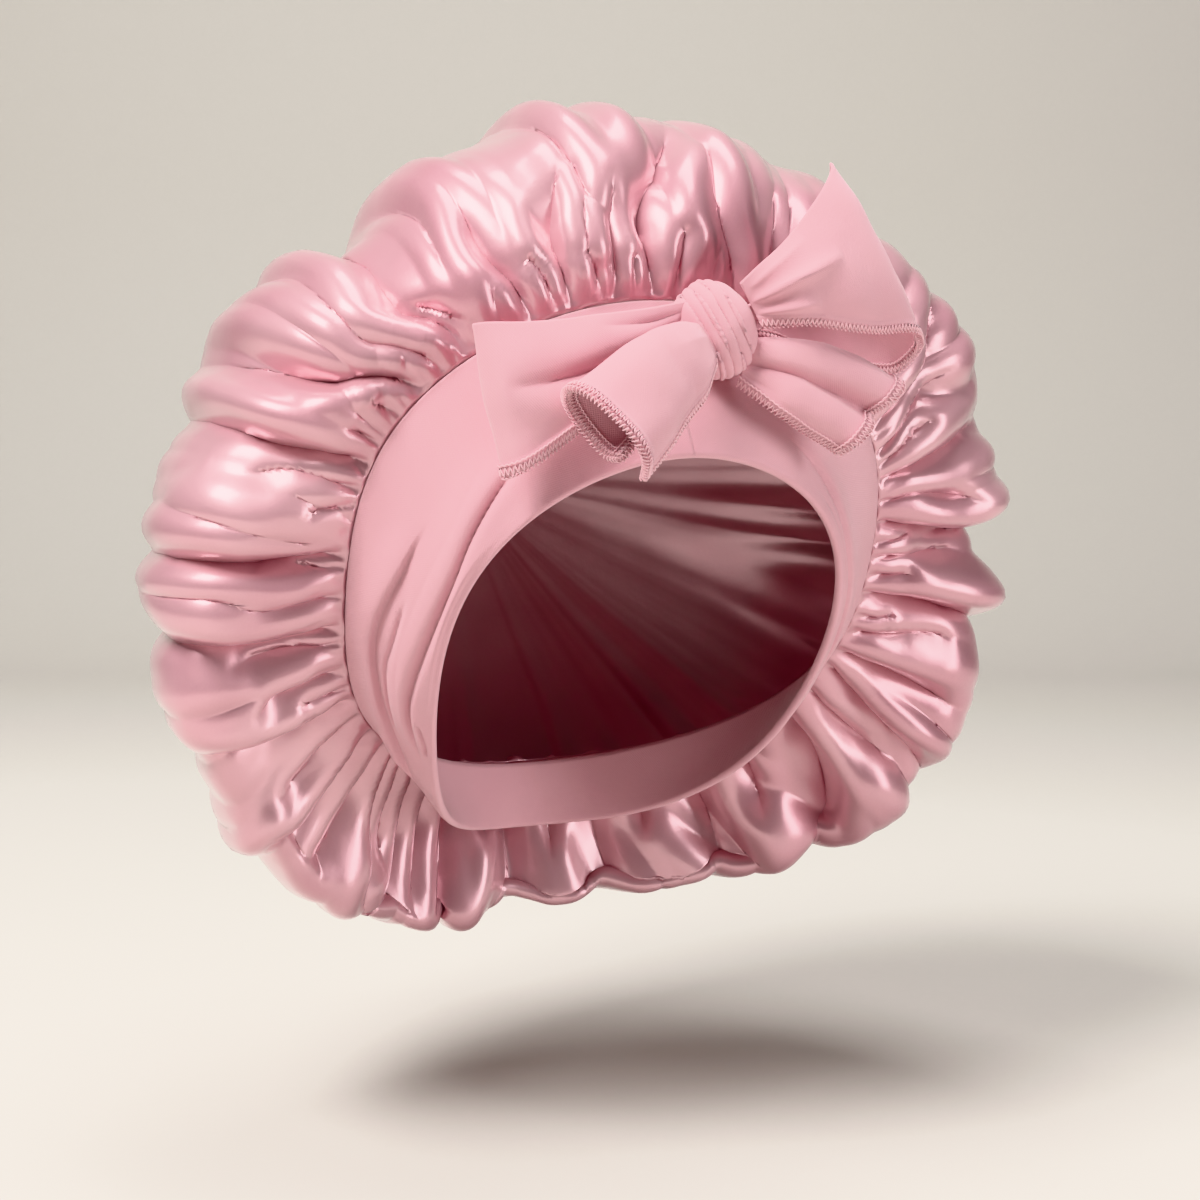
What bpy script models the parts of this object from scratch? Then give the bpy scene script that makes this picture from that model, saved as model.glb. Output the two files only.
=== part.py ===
"""Sleep bonnet with a gathered satin crown, a wrapped jersey band and a tied bow.

Metres, +Z up. The wearer faces -Y, and +X is the wearer's left. The origin is the
middle of the head at the height of the band, where the head holds the bonnet.
Turn is the angle round the face opening in degrees: 0 at the top of the forehead,
90 at the wearer's left, 180 at the nape, 270 at the wearer's right.
"""

import bpy
import numpy as np

# Seam ring, where the crown is gathered onto the band
SEAM_WIDTH = 0.191
SEAM_HEIGHT = 0.1675
SEAM_DEPTH = 0.115
SEAM_TOP = 0.0715
SEAM_FRONT = -0.054

# Hem ring, the edge of the band round the face and the nape
HEM_WIDTH = 0.141
HEM_HEIGHT = 0.1425
HEM_DEPTH = 0.140
HEM_TOP = 0.0245
HEM_FRONT = -0.082

# Crown
CROWN_WIDTH = 0.317
CROWN_HEIGHT = 0.286
CROWN_TOP = 0.1375
CROWN_BACK = 0.131
POLE_DOWN = 0.46
RIM_PLACE = 0.012
FOLD_DEPTH = 0.010
FRONT_LEAN = 24.0
NAPE_LEAN = 62.0

# How far the crown's curves hold their direction, as shares of their span
SEAM_HOLD = 0.42
RIM_HOLD = 0.52
PAST_HOLD = 0.55
POLE_HOLD = 0.60

# Cloth walls and the gap between sewn pieces
CROWN_WALL = 0.0012
BAND_WALL = 0.0028
STRIP_WALL = 0.0015
CLEARANCE = 0.0004
BAND_FOLD = 0.0020
FOLD_END = 0.15

# Knot and the tied strip
KNOT_WIDTH = 0.027
KNOT_DEPTH = 0.023
KNOT_HEIGHT = 0.031
KNOT_RIDGE = 0.0009
KNOT_RIDGES = 4
KNOT_SLANT = 2.2
KNOT_FULLNESS = 0.8
KNOT_TURN = 5.0
KNOT_SHARE = 0.33
LOOP_REACH = 0.078
LOOP_RISE = 0.050
LOOP_PUFF = 0.016
TAIL_REACH = 0.064
TAIL_DROP = 0.036
TAIL_ROLL = 0.016

# Mesh fineness
TURNS = 132
SLOPE_ROWS = 9
BACK_ROWS = 5
SEAM_CROWDING = 0.9
BAND_TURNS = 66
BAND_ROWS = 5
KNOT_COLUMNS = 24
KNOT_ROWS = 12
LOOP_GRID = (21, 7)
LEFT_TAIL_GRID = (8, 17)
RIGHT_TAIL_GRID = (8, 19)

# Seam and hem rings, right half, mirrored for the left. Across is a share of half the
# ring's width, back and up are shares of its depth and height from its top front.
RING_COLUMNS = ("turn", "seam_across", "seam_back", "seam_up",
                "hem_across", "hem_back", "hem_up")
RING_ROWS = (
    (0, 0.000, 0.000, 0.000, 0.000, 0.000, 0.000),
    (30, 0.581, 0.035, -0.087, 0.603, 0.050, -0.088),
    (60, 0.927, 0.126, -0.284, 0.943, 0.168, -0.284),
    (90, 1.000, 0.243, -0.540, 1.000, 0.321, -0.537),
    (120, 0.880, 0.443, -0.797, 0.844, 0.543, -0.797),
    (150, 0.476, 0.791, -0.952, 0.518, 0.836, -0.958),
    (180, 0.000, 1.000, -1.000, 0.000, 1.000, -1.000),
)

# Rim of the crown, its widest line, a row for each 30 degrees. Across is a share of
# half the crown's width, back of its reach behind the rim, down of its height from the
# top, and lean how far the cloth leans forward as it leaves the seam, a share of the
# front lean, or backward where it is negative, a share of the nape lean.
RIM_COLUMNS = ("turn", "across", "back", "down", "lean")
RIM_ROWS = (
    (0, 0.013, 0.000, 0.000, 1.00),
    (30, 0.561, -0.025, 0.063, 0.95),
    (60, 0.910, -0.059, 0.264, 0.80),
    (90, 1.013, -0.067, 0.528, 0.60),
    (120, 0.905, 0.040, 0.815, 0.18),
    (150, 0.535, 0.215, 0.960, -0.50),
    (180, 0.010, 0.450, 1.000, -1.00),
    (210, -0.400, 0.300, 0.985, -0.58),
    (240, -0.835, 0.010, 0.790, 0.18),
    (270, -0.960, -0.067, 0.530, 0.60),
    (300, -0.840, -0.059, 0.290, 0.80),
    (330, -0.475, -0.025, 0.106, 0.95),
)

# Valleys between the pillows of gathered satin, a row for each. Seam and rim are the
# turns of its ends, slope and edge its depth there as shares of the fold depth, and
# before and after the degrees over which its two sides rise.
VALLEY_COLUMNS = ("seam", "rim", "slope", "edge", "before", "after")
VALLEY_ROWS = (
    (352, 363, 0.7, 0.7, 8, 9),
    (360, 368, 0.6, 0.1, 5, 6),
    (371, 374, 0.5, 0.4, 7, 6),
    (380, 385, 0.7, 0.7, 8, 9),
    (392, 394, 0.5, 0.8, 8, 8),
    (404, 405, 0.5, 0.2, 6, 6),
    (412, 413, 0.6, 0.2, 7, 6),
    (420, 421, 0.9, 0.8, 10, 7),
    (430, 432, 0.5, 0.2, 6, 6),
    (440, 443, 0.9, 0.8, 11, 6),
    (449, 452, 0.4, 0.1, 6, 6),
    (456, 457, 0.7, 0.1, 6, 6),
    (462, 461, 0.5, 0.7, 7, 7),
    (471, 473, 0.7, 0.2, 7, 8),
    (480, 482, 0.6, 0.6, 8, 8),
    (491, 492, 0.4, 0.1, 6, 6),
    (500, 502, 0.9, 0.8, 9, 9),
    (512, 513, 0.4, 0.2, 7, 7),
    (523, 521, 0.6, 0.7, 9, 9),
    (534, 534, 0.4, 0.2, 7, 7),
    (545, 547, 0.6, 0.7, 9, 9),
    (556, 558, 0.4, 0.2, 7, 7),
    (568, 568, 0.7, 0.8, 9, 8),
    (575, 576, 0.4, 0.1, 6, 6),
    (583, 582, 0.4, 0.1, 6, 6),
    (591, 587, 0.9, 0.6, 8, 9),
    (597, 595, 0.5, 0.1, 6, 7),
    (603, 604, 0.9, 0.4, 6, 9),
    (610, 610, 0.3, 0.7, 7, 7),
    (618, 616, 0.7, 0.2, 6, 5),
    (622, 622, 0.9, 0.5, 5, 7),
    (628, 630, 0.5, 0.3, 5, 6),
    (635, 633, 1.0, 0.6, 6, 8),
    (643, 640, 0.4, 0.0, 6, 6),
    (650, 645, 0.6, 0.0, 6, 6),
    (657, 654, 1.0, 0.6, 7, 9),
    (674, 669, 0.8, 1.0, 9, 9),
    (683, 679, 1.0, 0.2, 7, 8),
    (689, 686, 0.5, 0.0, 5, 6),
    (697, 696, 0.8, 0.9, 8, 9),
    (701, 706, 0.5, 0.0, 5, 6),
    (706, 712, 0.8, 0.3, 6, 9),
)

# How deep a valley is from the seam over the rim to the back
DEPTH_COLUMNS = ("share", "slope", "edge")
DEPTH_ROWS = (
    (0.00, 0.15, 0.0),
    (0.10, 0.80, 0.0),
    (0.22, 1.00, 0.1),
    (0.38, 0.55, 0.7),
    (0.50, 0.15, 1.0),
    (0.66, 0.00, 0.6),
    (0.82, 0.00, 0.1),
    (1.00, 0.00, 0.0),
)

# Long soft folds of the wrapped band, a row for each ridge. Start and end are turns,
# from and to the share of the band's width from the seam, height a share of the fold.
BAND_COLUMNS = ("start", "end", "from", "to", "height", "spread")
BAND_FOLD_ROWS = (
    (328, 236, 0.52, 0.42, 0.7, 0.10),
    (330, 232, 0.70, 0.62, 0.9, 0.09),
    (326, 228, 0.86, 0.80, 1.0, 0.07),
    (28, 100, 0.62, 0.52, 0.6, 0.12),
)

# Loops of the bow, a row for each station of the strip from its root in front round
# its outer fold to its root behind. Each edge is given out, forward and up from the
# knot's middle as shares of the loop's reach, puff and rise.
LOOP_COLUMNS = ("along", "high_out", "high_forward", "high_up",
                "low_out", "low_forward", "low_up", "belly")
RIGHT_LOOP_ROWS = (
    (0.00, 0.10, 0.45, 0.26, 0.16, 0.50, 0.02, 0.00),
    (0.18, 0.24, 0.75, 0.54, 0.36, 0.95, 0.03, 0.35),
    (0.34, 0.40, 0.65, 0.84, 0.66, 0.80, 0.00, 0.40),
    (0.46, 0.505, 0.30, 1.04, 0.90, 0.45, -0.03, 0.30),
    (0.50, 0.52, 0.12, 1.06, 0.96, 0.05, -0.11, 0.20),
    (0.54, 0.505, -0.05, 1.03, 0.94, -0.35, -0.22, 0.00),
    (0.68, 0.38, -0.12, 0.76, 0.70, -0.40, -0.24, -0.20),
    (0.84, 0.22, -0.05, 0.44, 0.40, -0.22, -0.12, -0.20),
    (1.00, 0.10, -0.05, 0.24, 0.18, -0.10, 0.00, 0.00),
)
LEFT_LOOP_ROWS = (
    (0.00, -0.13, 0.22, 0.18, -0.17, 0.16, -0.04, 0.00),
    (0.16, -0.36, 0.26, 0.13, -0.38, 0.42, -0.32, 0.20),
    (0.32, -0.72, 0.22, 0.06, -0.70, 0.62, -0.66, 0.20),
    (0.46, -1.00, 0.12, 0.04, -0.90, 0.50, -0.86, 0.10),
    (0.50, -1.03, -0.03, 0.03, -0.925, 0.32, -0.88, 0.00),
    (0.54, -1.00, -0.18, 0.02, -0.90, 0.14, -0.86, 0.00),
    (0.70, -0.70, -0.12, 0.02, -0.68, 0.10, -0.62, 0.00),
    (0.86, -0.36, -0.06, 0.07, -0.36, 0.02, -0.28, 0.00),
    (1.00, -0.15, -0.05, 0.10, -0.16, -0.05, -0.04, 0.00),
)

# Tails of the bow, a row for each station from the knot to the cut end. Out, forward
# and drop are shares of the tail's reach, roll and drop, wide and thick scale the
# rolled section, and slant leans it along the tail as a share of the roll.
TAIL_COLUMNS = ("along", "out", "forward", "drop", "wide", "thick", "slant")
LEFT_TAIL_ROWS = (
    (0.00, -0.12, 0.52, 0.12, 0.48, 0.25, 0.00),
    (0.25, -0.28, 1.02, 0.25, 0.80, 0.45, 0.00),
    (0.55, -0.50, 1.42, 0.46, 1.00, 0.75, 0.00),
    (1.00, -0.77, 1.62, 0.84, 1.08, 1.00, 0.00),
)
RIGHT_TAIL_ROWS = (
    (0.00, 0.15, 0.10, 0.27, 0.42, 0.30, 0.00),
    (0.30, 0.34, 0.40, 0.37, 0.64, 0.52, 0.08),
    (0.62, 0.56, 0.42, 0.52, 0.80, 0.85, 0.18),
    (1.00, 0.82, 0.42, 0.74, 0.90, 1.00, 0.28),
)

# Rolled section of each tail from one long hem to the other, aside and forward as
# shares of the roll
SECTION_COLUMNS = ("aside", "forward")
LEFT_SECTION_ROWS = (
    (1.05, 0.10),
    (0.60, 0.50),
    (0.00, 0.58),
    (-0.62, 0.40),
    (-0.92, 0.00),
    (-0.70, -0.40),
    (-0.10, -0.52),
    (0.50, -0.40),
    (0.62, -0.08),
)
RIGHT_SECTION_ROWS = (
    (-1.10, 0.05),
    (-0.80, 0.42),
    (-0.35, 0.45),
    (-0.02, 0.12),
    (0.35, 0.48),
    (0.80, 0.45),
    (1.02, 0.05),
    (0.80, -0.35),
    (0.40, -0.38),
    (0.15, -0.22),
)

# Colours as linear red, green and blue, with roughness
SATIN = (0.70, 0.36, 0.42, 0.30)
JERSEY = (0.82, 0.48, 0.54, 0.85)


def table(rows, columns):
    """Turn rows with named columns into arrays by name."""
    values = np.array(rows, dtype=float)
    return {name: values[:, index] for index, name in enumerate(columns)}


def smooth(value):
    """Ease from 0 to 1."""
    value = np.clip(value, 0.0, 1.0)
    return value * value * (3.0 - 2.0 * value)


def ring_curve(knots, values, turn):
    """Read a closed curve through the values at the knots, smooth all the way round."""
    count = len(knots)
    steps = np.diff(np.append(knots, knots[0] + 360.0))
    matrix = np.zeros((count, count))
    right = np.zeros((count, values.shape[1]))
    for index in range(count):
        last = (index - 1) % count
        following = (index + 1) % count
        matrix[index, last] += steps[last]
        matrix[index, index] += 2.0 * (steps[last] + steps[index])
        matrix[index, following] += steps[index]
        rise = (values[following] - values[index]) / steps[index]
        right[index] = 6.0 * (rise - (values[index] - values[last]) / steps[last])
    bend = np.linalg.solve(matrix, right)
    place = np.mod(turn - knots[0], 360.0) + knots[0]
    low = np.clip(np.searchsorted(knots, place, side="right") - 1, 0, count - 1)
    high = (low + 1) % count
    step = steps[low][:, None]
    after = (place - knots[low])[:, None]
    before = step - after
    cubic = (bend[low] * before ** 3 + bend[high] * after ** 3) / (6.0 * step)
    low_line = (values[low] / step - bend[low] * step / 6.0) * before
    high_line = (values[high] / step - bend[high] * step / 6.0) * after
    return cubic + low_line + high_line


def open_curve(knots, values, place):
    """Read a smooth open curve through the values at the knots, without overshoot."""
    slope = np.gradient(values, knots, axis=0)
    low = np.clip(np.searchsorted(knots, place, side="right") - 1, 0, len(knots) - 2)
    step = (knots[low + 1] - knots[low])[:, None]
    share = (place - knots[low])[:, None] / step
    start = values[low] * (2 * share ** 3 - 3 * share ** 2 + 1)
    end = values[low + 1] * (3 * share ** 2 - 2 * share ** 3)
    leave = slope[low] * step * (share ** 3 - 2 * share ** 2 + share)
    arrive = slope[low + 1] * step * (share ** 3 - share ** 2)
    return start + end + leave + arrive


def ring(kind, turn):
    """Points of the seam ring or the hem ring at the turns."""
    sizes = {
        "seam": (SEAM_WIDTH, SEAM_HEIGHT, SEAM_DEPTH, SEAM_TOP, SEAM_FRONT),
        "hem": (HEM_WIDTH, HEM_HEIGHT, HEM_DEPTH, HEM_TOP, HEM_FRONT),
    }
    width, height, depth, top, front = sizes[kind]
    rows = table(RING_ROWS, RING_COLUMNS)
    across = rows[kind + "_across"] * width / 2.0
    back = front + rows[kind + "_back"] * depth
    up = top + rows[kind + "_up"] * height
    right = np.column_stack([across, back, up])
    left = right[-2:0:-1] * (-1.0, 1.0, 1.0)
    knots = np.append(rows["turn"], 360.0 - rows["turn"][-2:0:-1])
    return ring_curve(knots, np.vstack([right, left]), turn)


def bezier(first, second, third, fourth, share):
    """Cubic curve through two ends with two handles, for each turn and share."""
    share = share[None, :, None]
    rest = 1.0 - share
    start = first[:, None] * rest ** 3 + 3.0 * second[:, None] * share * rest ** 2
    return start + 3.0 * third[:, None] * share ** 2 * rest + fourth[:, None] * share ** 3


def crown_pole():
    """The point at the back where the crown closes."""
    return np.array([0.0, CROWN_BACK, CROWN_TOP - POLE_DOWN * CROWN_HEIGHT])


def crown_base(turn, share):
    """Crown without its folds: share 0 at the seam, 0.5 at the rim, 1 at the back."""
    rows = table(RIM_ROWS, RIM_COLUMNS)
    reach = CROWN_BACK - RIM_PLACE
    rim_rows = np.column_stack([
        rows["across"] * CROWN_WIDTH / 2.0,
        RIM_PLACE + rows["back"] * reach,
        CROWN_TOP - rows["down"] * CROWN_HEIGHT,
        rows["lean"],
    ])
    values = ring_curve(rows["turn"], rim_rows, turn)
    rim = values[:, :3]
    lean = values[:, 3]
    degrees = np.where(lean > 0.0, lean * FRONT_LEAN, lean * NAPE_LEAN)
    angle = np.radians(degrees)[:, None]
    seam = ring("seam", turn)
    edge = seam - ring("hem", turn)
    edge /= np.linalg.norm(edge, axis=1, keepdims=True)
    seam = seam + edge * CLEARANCE
    away = (rim - seam) * (1.0, 0.0, 1.0)
    away /= np.linalg.norm(away, axis=1, keepdims=True)
    forward = np.array([0.0, -1.0, 0.0])
    leave = away * np.cos(angle) + forward * np.sin(angle)
    length = np.linalg.norm(rim - seam, axis=1, keepdims=True)
    pole = np.broadcast_to(crown_pole(), rim.shape)
    off_seam = seam + leave * length * SEAM_HOLD
    before_rim = rim + forward * length * RIM_HOLD
    front = bezier(seam, off_seam, before_rim, rim, np.clip(2.0 * share, 0.0, 1.0))
    past_rim = rim + (pole - rim) * (0.0, PAST_HOLD, 0.0)
    before_pole = pole + (rim - pole) * (POLE_HOLD, 0.0, POLE_HOLD)
    back = bezier(rim, past_rim, before_pole, pole, np.clip(2.0 * share - 1.0, 0.0, 1.0))
    return np.where(share[None, :, None] <= 0.5, front, back)


def valley_depth(turn, share):
    """Depth of the valleys at each turn and share, in metres, soft where two meet."""
    depths = table(DEPTH_ROWS, DEPTH_COLUMNS)
    on_slope = np.interp(share, depths["share"], depths["slope"])
    on_edge = np.interp(share, depths["share"], depths["edge"])
    run = smooth(share / 0.5)
    rows = table(VALLEY_ROWS, VALLEY_COLUMNS)
    total = np.zeros((len(turn), len(share)))
    for index in range(len(VALLEY_ROWS)):
        seam, rim = rows["seam"][index], rows["rim"][index]
        line = seam + (rim - seam) * run
        away = np.mod(turn[:, None] - line[None, :] + 180.0, 360.0) - 180.0
        span = np.where(away < 0.0, rows["before"][index], rows["after"][index])
        near = np.clip(1.0 - np.abs(away) / span, 0.0, 1.0) ** 2
        deep = rows["slope"][index] * on_slope + rows["edge"][index] * on_edge
        total += (near * deep[None, :]) ** 3
    return FOLD_DEPTH * np.cbrt(total)


def facing(points, closed):
    """Unit normals of a grid of points, from the steps along and across it."""
    if closed:
        along = np.roll(points, -1, axis=0) - np.roll(points, 1, axis=0)
    else:
        along = np.gradient(points, axis=0)
    across = np.gradient(points, axis=1)
    normal = np.cross(along, across)
    size = np.linalg.norm(normal, axis=2, keepdims=True)
    return normal / np.maximum(size, 1e-12)


def crown_points():
    """Grid of the crown's outer face, without the point at the back."""
    turn = np.arange(TURNS) * 360.0 / TURNS
    slope = 0.5 * np.linspace(0.0, 1.0, SLOPE_ROWS + 1) ** SEAM_CROWDING
    back = 0.5 + 0.5 * np.arange(1, BACK_ROWS) / BACK_ROWS
    share = np.append(slope, back)
    base = crown_base(turn, share)
    return base - facing(base, True) * valley_depth(turn, share)[..., None]


def band_points(turn, share):
    """Grid of the band's outer face, from the seam at share 0 to the hem at 1."""
    seam = ring("seam", turn)[:, None]
    hem = ring("hem", turn)[:, None]
    points = seam + (hem - seam) * share[None, :, None]
    rows = table(BAND_FOLD_ROWS, BAND_COLUMNS)
    lift = np.zeros((len(turn), len(share)))
    for index in range(len(BAND_FOLD_ROWS)):
        start, end = rows["start"][index], rows["end"][index]
        along = (turn - start) / (end - start)
        fade = smooth(along / FOLD_END) * smooth((1.0 - along) / FOLD_END)
        line = rows["from"][index] + (rows["to"][index] - rows["from"][index]) * along
        away = (share[None, :] - line[:, None]) / rows["spread"][index]
        lift += rows["height"][index] * fade[:, None] * np.exp(-away ** 2)
    return points - facing(points, True) * (BAND_FOLD * lift)[..., None]


def knot_middle():
    """Middle of the knot, seated on the band in front of the forehead."""
    turn = np.array([KNOT_TURN - 1.0, KNOT_TURN, KNOT_TURN + 1.0])
    share = np.array([KNOT_SHARE - 0.02, KNOT_SHARE, KNOT_SHARE + 0.02])
    points = band_points(turn, share)
    outward = -facing(points, False)[1, 1]
    return points[1, 1] + outward * (KNOT_DEPTH / 2.0 + KNOT_RIDGE + CLEARANCE)


def knot_points(columns, rows):
    """Grid of the knot: a soft oval wrapped by slanting ridges, poles left and right."""
    around = np.arange(columns) * 2.0 * np.pi / columns
    along = np.pi * np.arange(1, rows) / rows
    ridges = np.cos(KNOT_RIDGES * around[:, None] + KNOT_SLANT * np.cos(along)[None, :])
    bulge = 1.0 + 2.0 * KNOT_RIDGE / KNOT_DEPTH * ridges * np.sin(along)[None, :]
    ring_size = np.sin(along)[None, :] ** KNOT_FULLNESS * bulge
    x = -np.cos(along)[None, :] * KNOT_WIDTH / 2.0 * np.ones((columns, 1))
    y = np.cos(around)[:, None] * ring_size * KNOT_DEPTH / 2.0
    z = np.sin(around)[:, None] * ring_size * KNOT_HEIGHT / 2.0
    return np.stack([x, y, z], axis=2)


def clear_of_knot(points):
    """Move points that lie in the knot out to just off its surface."""
    gap = CLEARANCE + STRIP_WALL / 2.0 + KNOT_RIDGE / 2.0
    radii = np.array([KNOT_WIDTH, KNOT_DEPTH, KNOT_HEIGHT]) / 2.0 + gap
    level = np.linalg.norm(points / radii, axis=-1, keepdims=True)
    return points * np.maximum(1.0, 1.0 / np.maximum(level, 1e-9))


def loop_points(rows, along_count, across_count):
    """Grid of a loop of the bow, from its front root to its back root."""
    data = table(rows, LOOP_COLUMNS)
    along = np.linspace(0.0, 1.0, along_count)
    high = np.column_stack([data["high_out"] * LOOP_REACH,
                            -data["high_forward"] * LOOP_PUFF,
                            data["high_up"] * LOOP_RISE])
    low = np.column_stack([data["low_out"] * LOOP_REACH,
                           -data["low_forward"] * LOOP_PUFF,
                           data["low_up"] * LOOP_RISE])
    high = open_curve(data["along"], high, along)[:, None]
    low = open_curve(data["along"], low, along)[:, None]
    belly = open_curve(data["along"], data["belly"][:, None], along)[:, None]
    across = np.linspace(0.0, 1.0, across_count)[None, :, None]
    swell = 4.0 * across * (1.0 - across) * belly * LOOP_PUFF
    return clear_of_knot(high + (low - high) * across + swell * (0.0, -1.0, 0.0))


def tail_points(rows, section, along_count, across_count):
    """Grid of a tail of the bow: a rolled section carried along its middle line."""
    data = table(rows, TAIL_COLUMNS)
    shape = table(section, SECTION_COLUMNS)
    along = np.linspace(0.0, 1.0, along_count)
    middle = np.column_stack([data["out"] * TAIL_REACH,
                              -data["forward"] * TAIL_ROLL,
                              -data["drop"] * TAIL_DROP])
    middle = open_curve(data["along"], middle, along)
    scale = np.column_stack([data["wide"], data["thick"], data["slant"]])
    scale = open_curve(data["along"], scale, along)
    ahead = np.gradient(middle, axis=0)
    ahead /= np.linalg.norm(ahead, axis=1, keepdims=True)
    forward = np.array([0.0, -1.0, 0.0])
    forward = forward - ahead * (ahead @ forward)[:, None]
    forward /= np.linalg.norm(forward, axis=1, keepdims=True)
    aside = np.cross(forward, ahead)
    outline = np.column_stack([shape["aside"], shape["forward"]])
    places = np.linspace(0.0, 1.0, len(section))
    outline = open_curve(places, outline, np.linspace(0.0, 1.0, across_count)) * TAIL_ROLL
    side_step = aside[:, None] * (outline[None, :, :1] * scale[:, None, :1])
    front_step = forward[:, None] * (outline[None, :, 1:] * scale[:, None, 1:2])
    end_step = ahead[:, None] * (outline[None, :, :1] * scale[:, None, 2:])
    return clear_of_knot(middle[:, None] + side_step + front_step + end_step)


def grid_faces(rows, columns, closed):
    """Four-cornered faces of a grid, joined round its rows where it is closed."""
    lines = np.arange(rows if closed else rows - 1)
    steps = np.arange(columns - 1)
    first = lines[:, None] * columns + steps[None, :]
    second = ((lines + 1) % rows)[:, None] * columns + steps[None, :]
    return np.stack([first, second, second + 1, first + 1], axis=2).reshape(-1, 4).tolist()


def add_material(name, colour):
    """A plain material of the cloth's colour and roughness."""
    material = bpy.data.materials.new(name)
    material.use_nodes = True
    shader = material.node_tree.nodes["Principled BSDF"]
    shader.inputs["Base Color"].default_value = (*colour[:3], 1.0)
    shader.inputs["Roughness"].default_value = colour[3]
    shader.inputs["Metallic"].default_value = 0.0
    return material


def add_object(name, points, faces, material, location=(0.0, 0.0, 0.0)):
    """A named object from points and faces, shaded smooth."""
    mesh = bpy.data.meshes.new(name)
    mesh.from_pydata(points.reshape(-1, 3).tolist(), [], faces)
    mesh.validate()
    mesh.shade_smooth()
    mesh.materials.append(material)
    thing = bpy.data.objects.new(name, mesh)
    thing.location = location
    bpy.context.scene.collection.objects.link(thing)
    return thing


def add_wall(thing, thickness, offset):
    """Give an open sheet its wall, to one side with offset 1 or -1, or both with 0."""
    wall = thing.modifiers.new("wall", "SOLIDIFY")
    wall.thickness = thickness
    wall.offset = offset
    wall.use_rim = True
    wall.use_even_offset = False


def flip(faces):
    """Turn faces to look the other way."""
    return [face[::-1] for face in faces]


def build_crown(satin):
    """The gathered crown, a thin shell open at the seam."""
    points = crown_points()
    turns, shares = points.shape[:2]
    faces = grid_faces(turns, shares, True)
    pole = turns * shares
    faces += [[shares * turn + shares - 1, shares * ((turn + 1) % turns) + shares - 1, pole]
              for turn in range(turns)]
    outer = np.vstack([points.reshape(-1, 3), crown_pole()])
    crown = add_object("crown", outer, faces, satin)
    add_wall(crown, CROWN_WALL, -1.0)


def build_band(jersey):
    """The wrapped band, a closed ring from the seam to the hem."""
    turn = np.arange(BAND_TURNS) * 360.0 / BAND_TURNS
    points = band_points(turn, np.linspace(0.0, 1.0, BAND_ROWS + 1))
    faces = flip(grid_faces(BAND_TURNS, BAND_ROWS + 1, True))
    add_wall(add_object("band", points, faces, jersey), BAND_WALL, -1.0)


def build_knot(jersey, middle):
    """The knot, one closed body."""
    inner_rows = KNOT_ROWS - 1
    points = knot_points(KNOT_COLUMNS, KNOT_ROWS)
    faces = grid_faces(KNOT_COLUMNS, inner_rows, True)
    ends = np.array([[-KNOT_WIDTH / 2.0, 0.0, 0.0], [KNOT_WIDTH / 2.0, 0.0, 0.0]])
    left = KNOT_COLUMNS * inner_rows
    for column in range(KNOT_COLUMNS):
        near = column * inner_rows
        far = (column + 1) % KNOT_COLUMNS * inner_rows
        faces.append([far, near, left])
        faces.append([near + inner_rows - 1, far + inner_rows - 1, left + 1])
    add_object("knot", np.vstack([points.reshape(-1, 3), ends]), faces, jersey, middle)


def build_strips(jersey, middle):
    """The two loops and two tails of the tied strip, each rooted at the knot."""
    strips = (
        ("loop_left", loop_points(LEFT_LOOP_ROWS, *LOOP_GRID)),
        ("loop_right", loop_points(RIGHT_LOOP_ROWS, *LOOP_GRID)),
        ("tail_left", tail_points(LEFT_TAIL_ROWS, LEFT_SECTION_ROWS, *LEFT_TAIL_GRID)),
        ("tail_right", tail_points(RIGHT_TAIL_ROWS, RIGHT_SECTION_ROWS, *RIGHT_TAIL_GRID)),
    )
    for name, points in strips:
        faces = grid_faces(points.shape[0], points.shape[1], False)
        add_wall(add_object(name, points, faces, jersey, middle), STRIP_WALL, 0.0)


def main():
    """Clear the scene and build every piece."""
    for thing in list(bpy.data.objects):
        bpy.data.objects.remove(thing, do_unlink=True)
    satin = add_material("satin", SATIN)
    jersey = add_material("jersey", JERSEY)
    build_crown(satin)
    build_band(jersey)
    middle = knot_middle()
    build_knot(jersey, middle)
    build_strips(jersey, middle)


main()
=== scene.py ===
"""Dressed sleep bonnet: gathered satin crown, wrapped jersey band and tied bow.

Metres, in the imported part's frame: +Z is up and the wide opening looks toward -Y. Turn
is the angle round that opening in degrees: 0 at its top, 90 on the +X side, 180 at its
bottom and 270 on the -X side.
"""

import logging
from dataclasses import dataclass
from enum import Enum

import bpy
import numpy as np
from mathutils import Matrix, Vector


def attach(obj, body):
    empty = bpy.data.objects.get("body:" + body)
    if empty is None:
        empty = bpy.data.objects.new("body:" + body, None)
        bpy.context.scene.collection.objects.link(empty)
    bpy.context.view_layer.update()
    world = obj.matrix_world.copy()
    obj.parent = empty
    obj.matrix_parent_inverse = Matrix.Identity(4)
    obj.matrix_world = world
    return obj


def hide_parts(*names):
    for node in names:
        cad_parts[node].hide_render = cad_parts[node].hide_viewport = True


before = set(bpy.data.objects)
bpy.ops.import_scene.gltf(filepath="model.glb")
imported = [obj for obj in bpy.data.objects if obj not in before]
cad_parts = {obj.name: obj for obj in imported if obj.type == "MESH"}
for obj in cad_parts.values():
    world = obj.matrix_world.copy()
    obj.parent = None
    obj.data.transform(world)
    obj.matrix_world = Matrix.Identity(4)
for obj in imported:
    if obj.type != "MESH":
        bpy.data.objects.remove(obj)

log = logging.getLogger("bonnet")

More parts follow.
